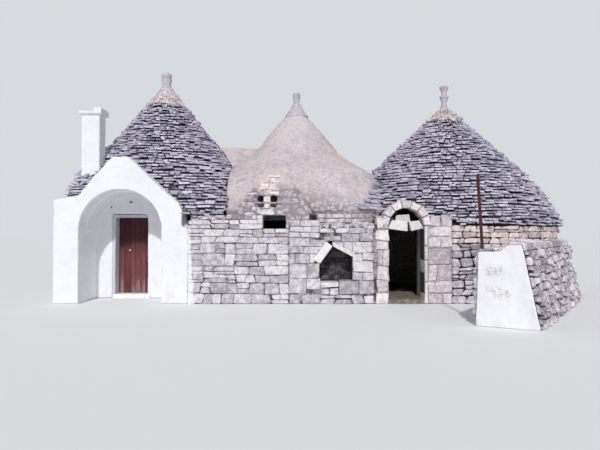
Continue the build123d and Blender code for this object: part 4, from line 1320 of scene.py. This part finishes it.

# %% [markdown]
# ## Faces that stay solid
# The walls inside, the floors and the solid cores behind the laid stones keep
# their measured shape. Cores are painted dark, as painted shade in the open
# joints of a dry wall, with pale dust in some joints of the front and plain
# rubble on the walls' tops. Rooms were limewashed. The material tells all these apart by place.


# %% Finishes of the solid cores, rooms and floors
def core(name, joint, filled):
    """Joints painted dark as painted shade, but at the front filled here and there with pale dust and lime.
    """
    finish = Finish(name)
    grain = finish.noise(20, 5, 0.65)
    at_face = 1 - finish.y.ramp(FRONT_Y + 0.04, FRONT_Y + 0.08)
    beside_doorway = finish.x.within(1.96, 3.76, 0.03)
    dusty = finish.noise(3.1, 4, 0.7).ramp(0.44, 0.56).larger(beside_doorway) * at_face * filled
    rubble_wall = finish.cells(5.5, "DISTANCE_TO_EDGE", finish.stretched(1, 1, 1.5)).ramp(0, 0.08)
    depth = finish.y.ramp(-2.1, -2.0) * (1 - finish.y.ramp(2.7, 2.85))
    across = finish.x - CONE_3_X
    from_axis = (across * across + finish.y * finish.y) ** 0.5
    in_drum = 1 - from_axis.ramp(2.7, 2.8)
    left_of_drum = 1 - finish.x.ramp(1.8, 1.9)
    inside = (depth * left_of_drum).larger(in_drum) * (1 - finish.z.ramp(1.9, 2.0))
    limed = finish.mix(rubble_wall, srgb(150, 142, 134), srgb(190, 184, 176))
    ledge = finish.mix(rubble_wall, srgb(120, 112, 116), srgb(182, 175, 180))
    # the joint colour is painted shade in the open joints; the pale dust that fills some of them is real
    between = finish.mix(dusty, joint, srgb(186, 178, 184))
    between = finish.mix(finish.z.ramp(WALL_TOP - 0.015, WALL_TOP - 0.005), between, ledge)
    colour = finish.mix(inside, finish.bright(between, grain * 0.8 + 0.6), limed)
    colour = finish.mix(limewash_lap(finish), colour, LIME_WHITE)
    return finish.feed(colour, 0.95 - grain * 0.1, rubble_wall * 0.6 + grain * 0.3, 0.03)


# the two joint colours are painted shade, darker still in the deep rubble joints
wall_core = core("painted_shade_wall_joints", srgb(84, 76, 80), filled=0.8)
rubble_core = core("painted_shade_rubble_joints", srgb(46, 41, 45), filled=0.0)
RUBBLE_NODES = ("yard_wall", "drum_front", "drum_flank", "drum_rear")
FINISH_OF_SLOT = {
    "roof_slabs": slab_gap_shade, "roof_plaster": roof_lime, "whitewash": whitewash,
    "wall_limestone": wall_core, "dressed_limestone": pier_stone, "floor_limestone": floor_stone,
    "door_boards": door_paint, "frame_wood": frame_paint, "pale_iron": pale_iron, "rusty_iron": rust,
}
slot_of = {row["node"]: row["material_slot"] for row in frame["record"]["subparts"]}
for name, solid in solids.items():
    finish = FINISH_OF_SLOT[slot_of[name]]
    if name == "door_threshold":
        finish = whitewash
    if name in RUBBLE_NODES:
        finish = rubble_core
    solid.data.materials.clear()
    solid.data.materials.append(finish)
print("solids given a finish:", len(solids))

# %% [markdown]
# ## Floor, light and camera
# The studio floor is pale and plain. One sun stands a little left of the
# camera, as high as in the photograph, and the world fills the shade. The
# camera sees another, plain colour behind the house. It is at a standing
# person's eye, 17 m before the middle cone.

# %% Pale floor and background
bpy.ops.object.select_all(action="DESELECT")
bpy.ops.mesh.primitive_plane_add(size=400, location=(0, 120, -0.002))
ground = bpy.context.object
ground.name = "studio_floor"
FILL_STRENGTH = 0.39
FILL_COLOUR = (0.9, 0.94, 1.0, 1)
SEEN_COLOUR = (0.683, 0.703, 0.732, 1)
pale = Finish("pale_floor")
pale.feed(srgb(240, 240, 241), 0.9, pale.noise(3), 0.001)
ground.data.materials.append(pale.material)
world = bpy.data.worlds.new("pale_studio")
bpy.context.scene.world = world
world.use_nodes = True
nodes, links = world.node_tree.nodes, world.node_tree.links
fill = nodes["Background"]
fill.inputs["Color"].default_value = FILL_COLOUR
fill.inputs["Strength"].default_value = FILL_STRENGTH
seen = nodes.new("ShaderNodeBackground")
seen.inputs["Color"].default_value = SEEN_COLOUR
seen.inputs["Strength"].default_value = 1.0
path = nodes.new("ShaderNodeLightPath")
either = nodes.new("ShaderNodeMath")
either.operation = "MAXIMUM"
links.new(path.outputs["Is Camera Ray"], either.inputs[0])
links.new(path.outputs["Is Glossy Ray"], either.inputs[1])
blend = nodes.new("ShaderNodeMixShader")
links.new(either.outputs[0], blend.inputs[0])
links.new(fill.outputs[0], blend.inputs[1])
links.new(seen.outputs[0], blend.inputs[2])
links.new(blend.outputs[0], nodes["World Output"].inputs["Surface"])
print("fill light:", FILL_STRENGTH)

# %% Sun and camera
SUN_TRAVEL = Vector((0.056, 1.0, -0.823))
SUN_STRENGTH = 2.12
SUN_WIDTH = math.radians(2.5)
EYE = (0.10, -16.9, 1.64)
EYE_TURN = (math.radians(90.98), 0, 0)
FILM_WIDTH = 36
LENS = 34.98
bpy.ops.object.light_add(type="SUN", location=(-6, -14, 12))
sun = bpy.context.object
sun.data.energy = SUN_STRENGTH
sun.data.angle = SUN_WIDTH
sun.rotation_euler = SUN_TRAVEL.to_track_quat("-Z", "Y").to_euler()
bpy.ops.object.camera_add(location=EYE, rotation=EYE_TURN)
camera = bpy.context.object
camera.data.lens = LENS
camera.data.sensor_width = FILM_WIDTH
bpy.context.scene.camera = camera
print("camera:", tuple(camera.location), "lens:", camera.data.lens)
bpy.context.scene.view_settings.view_transform = "Standard"
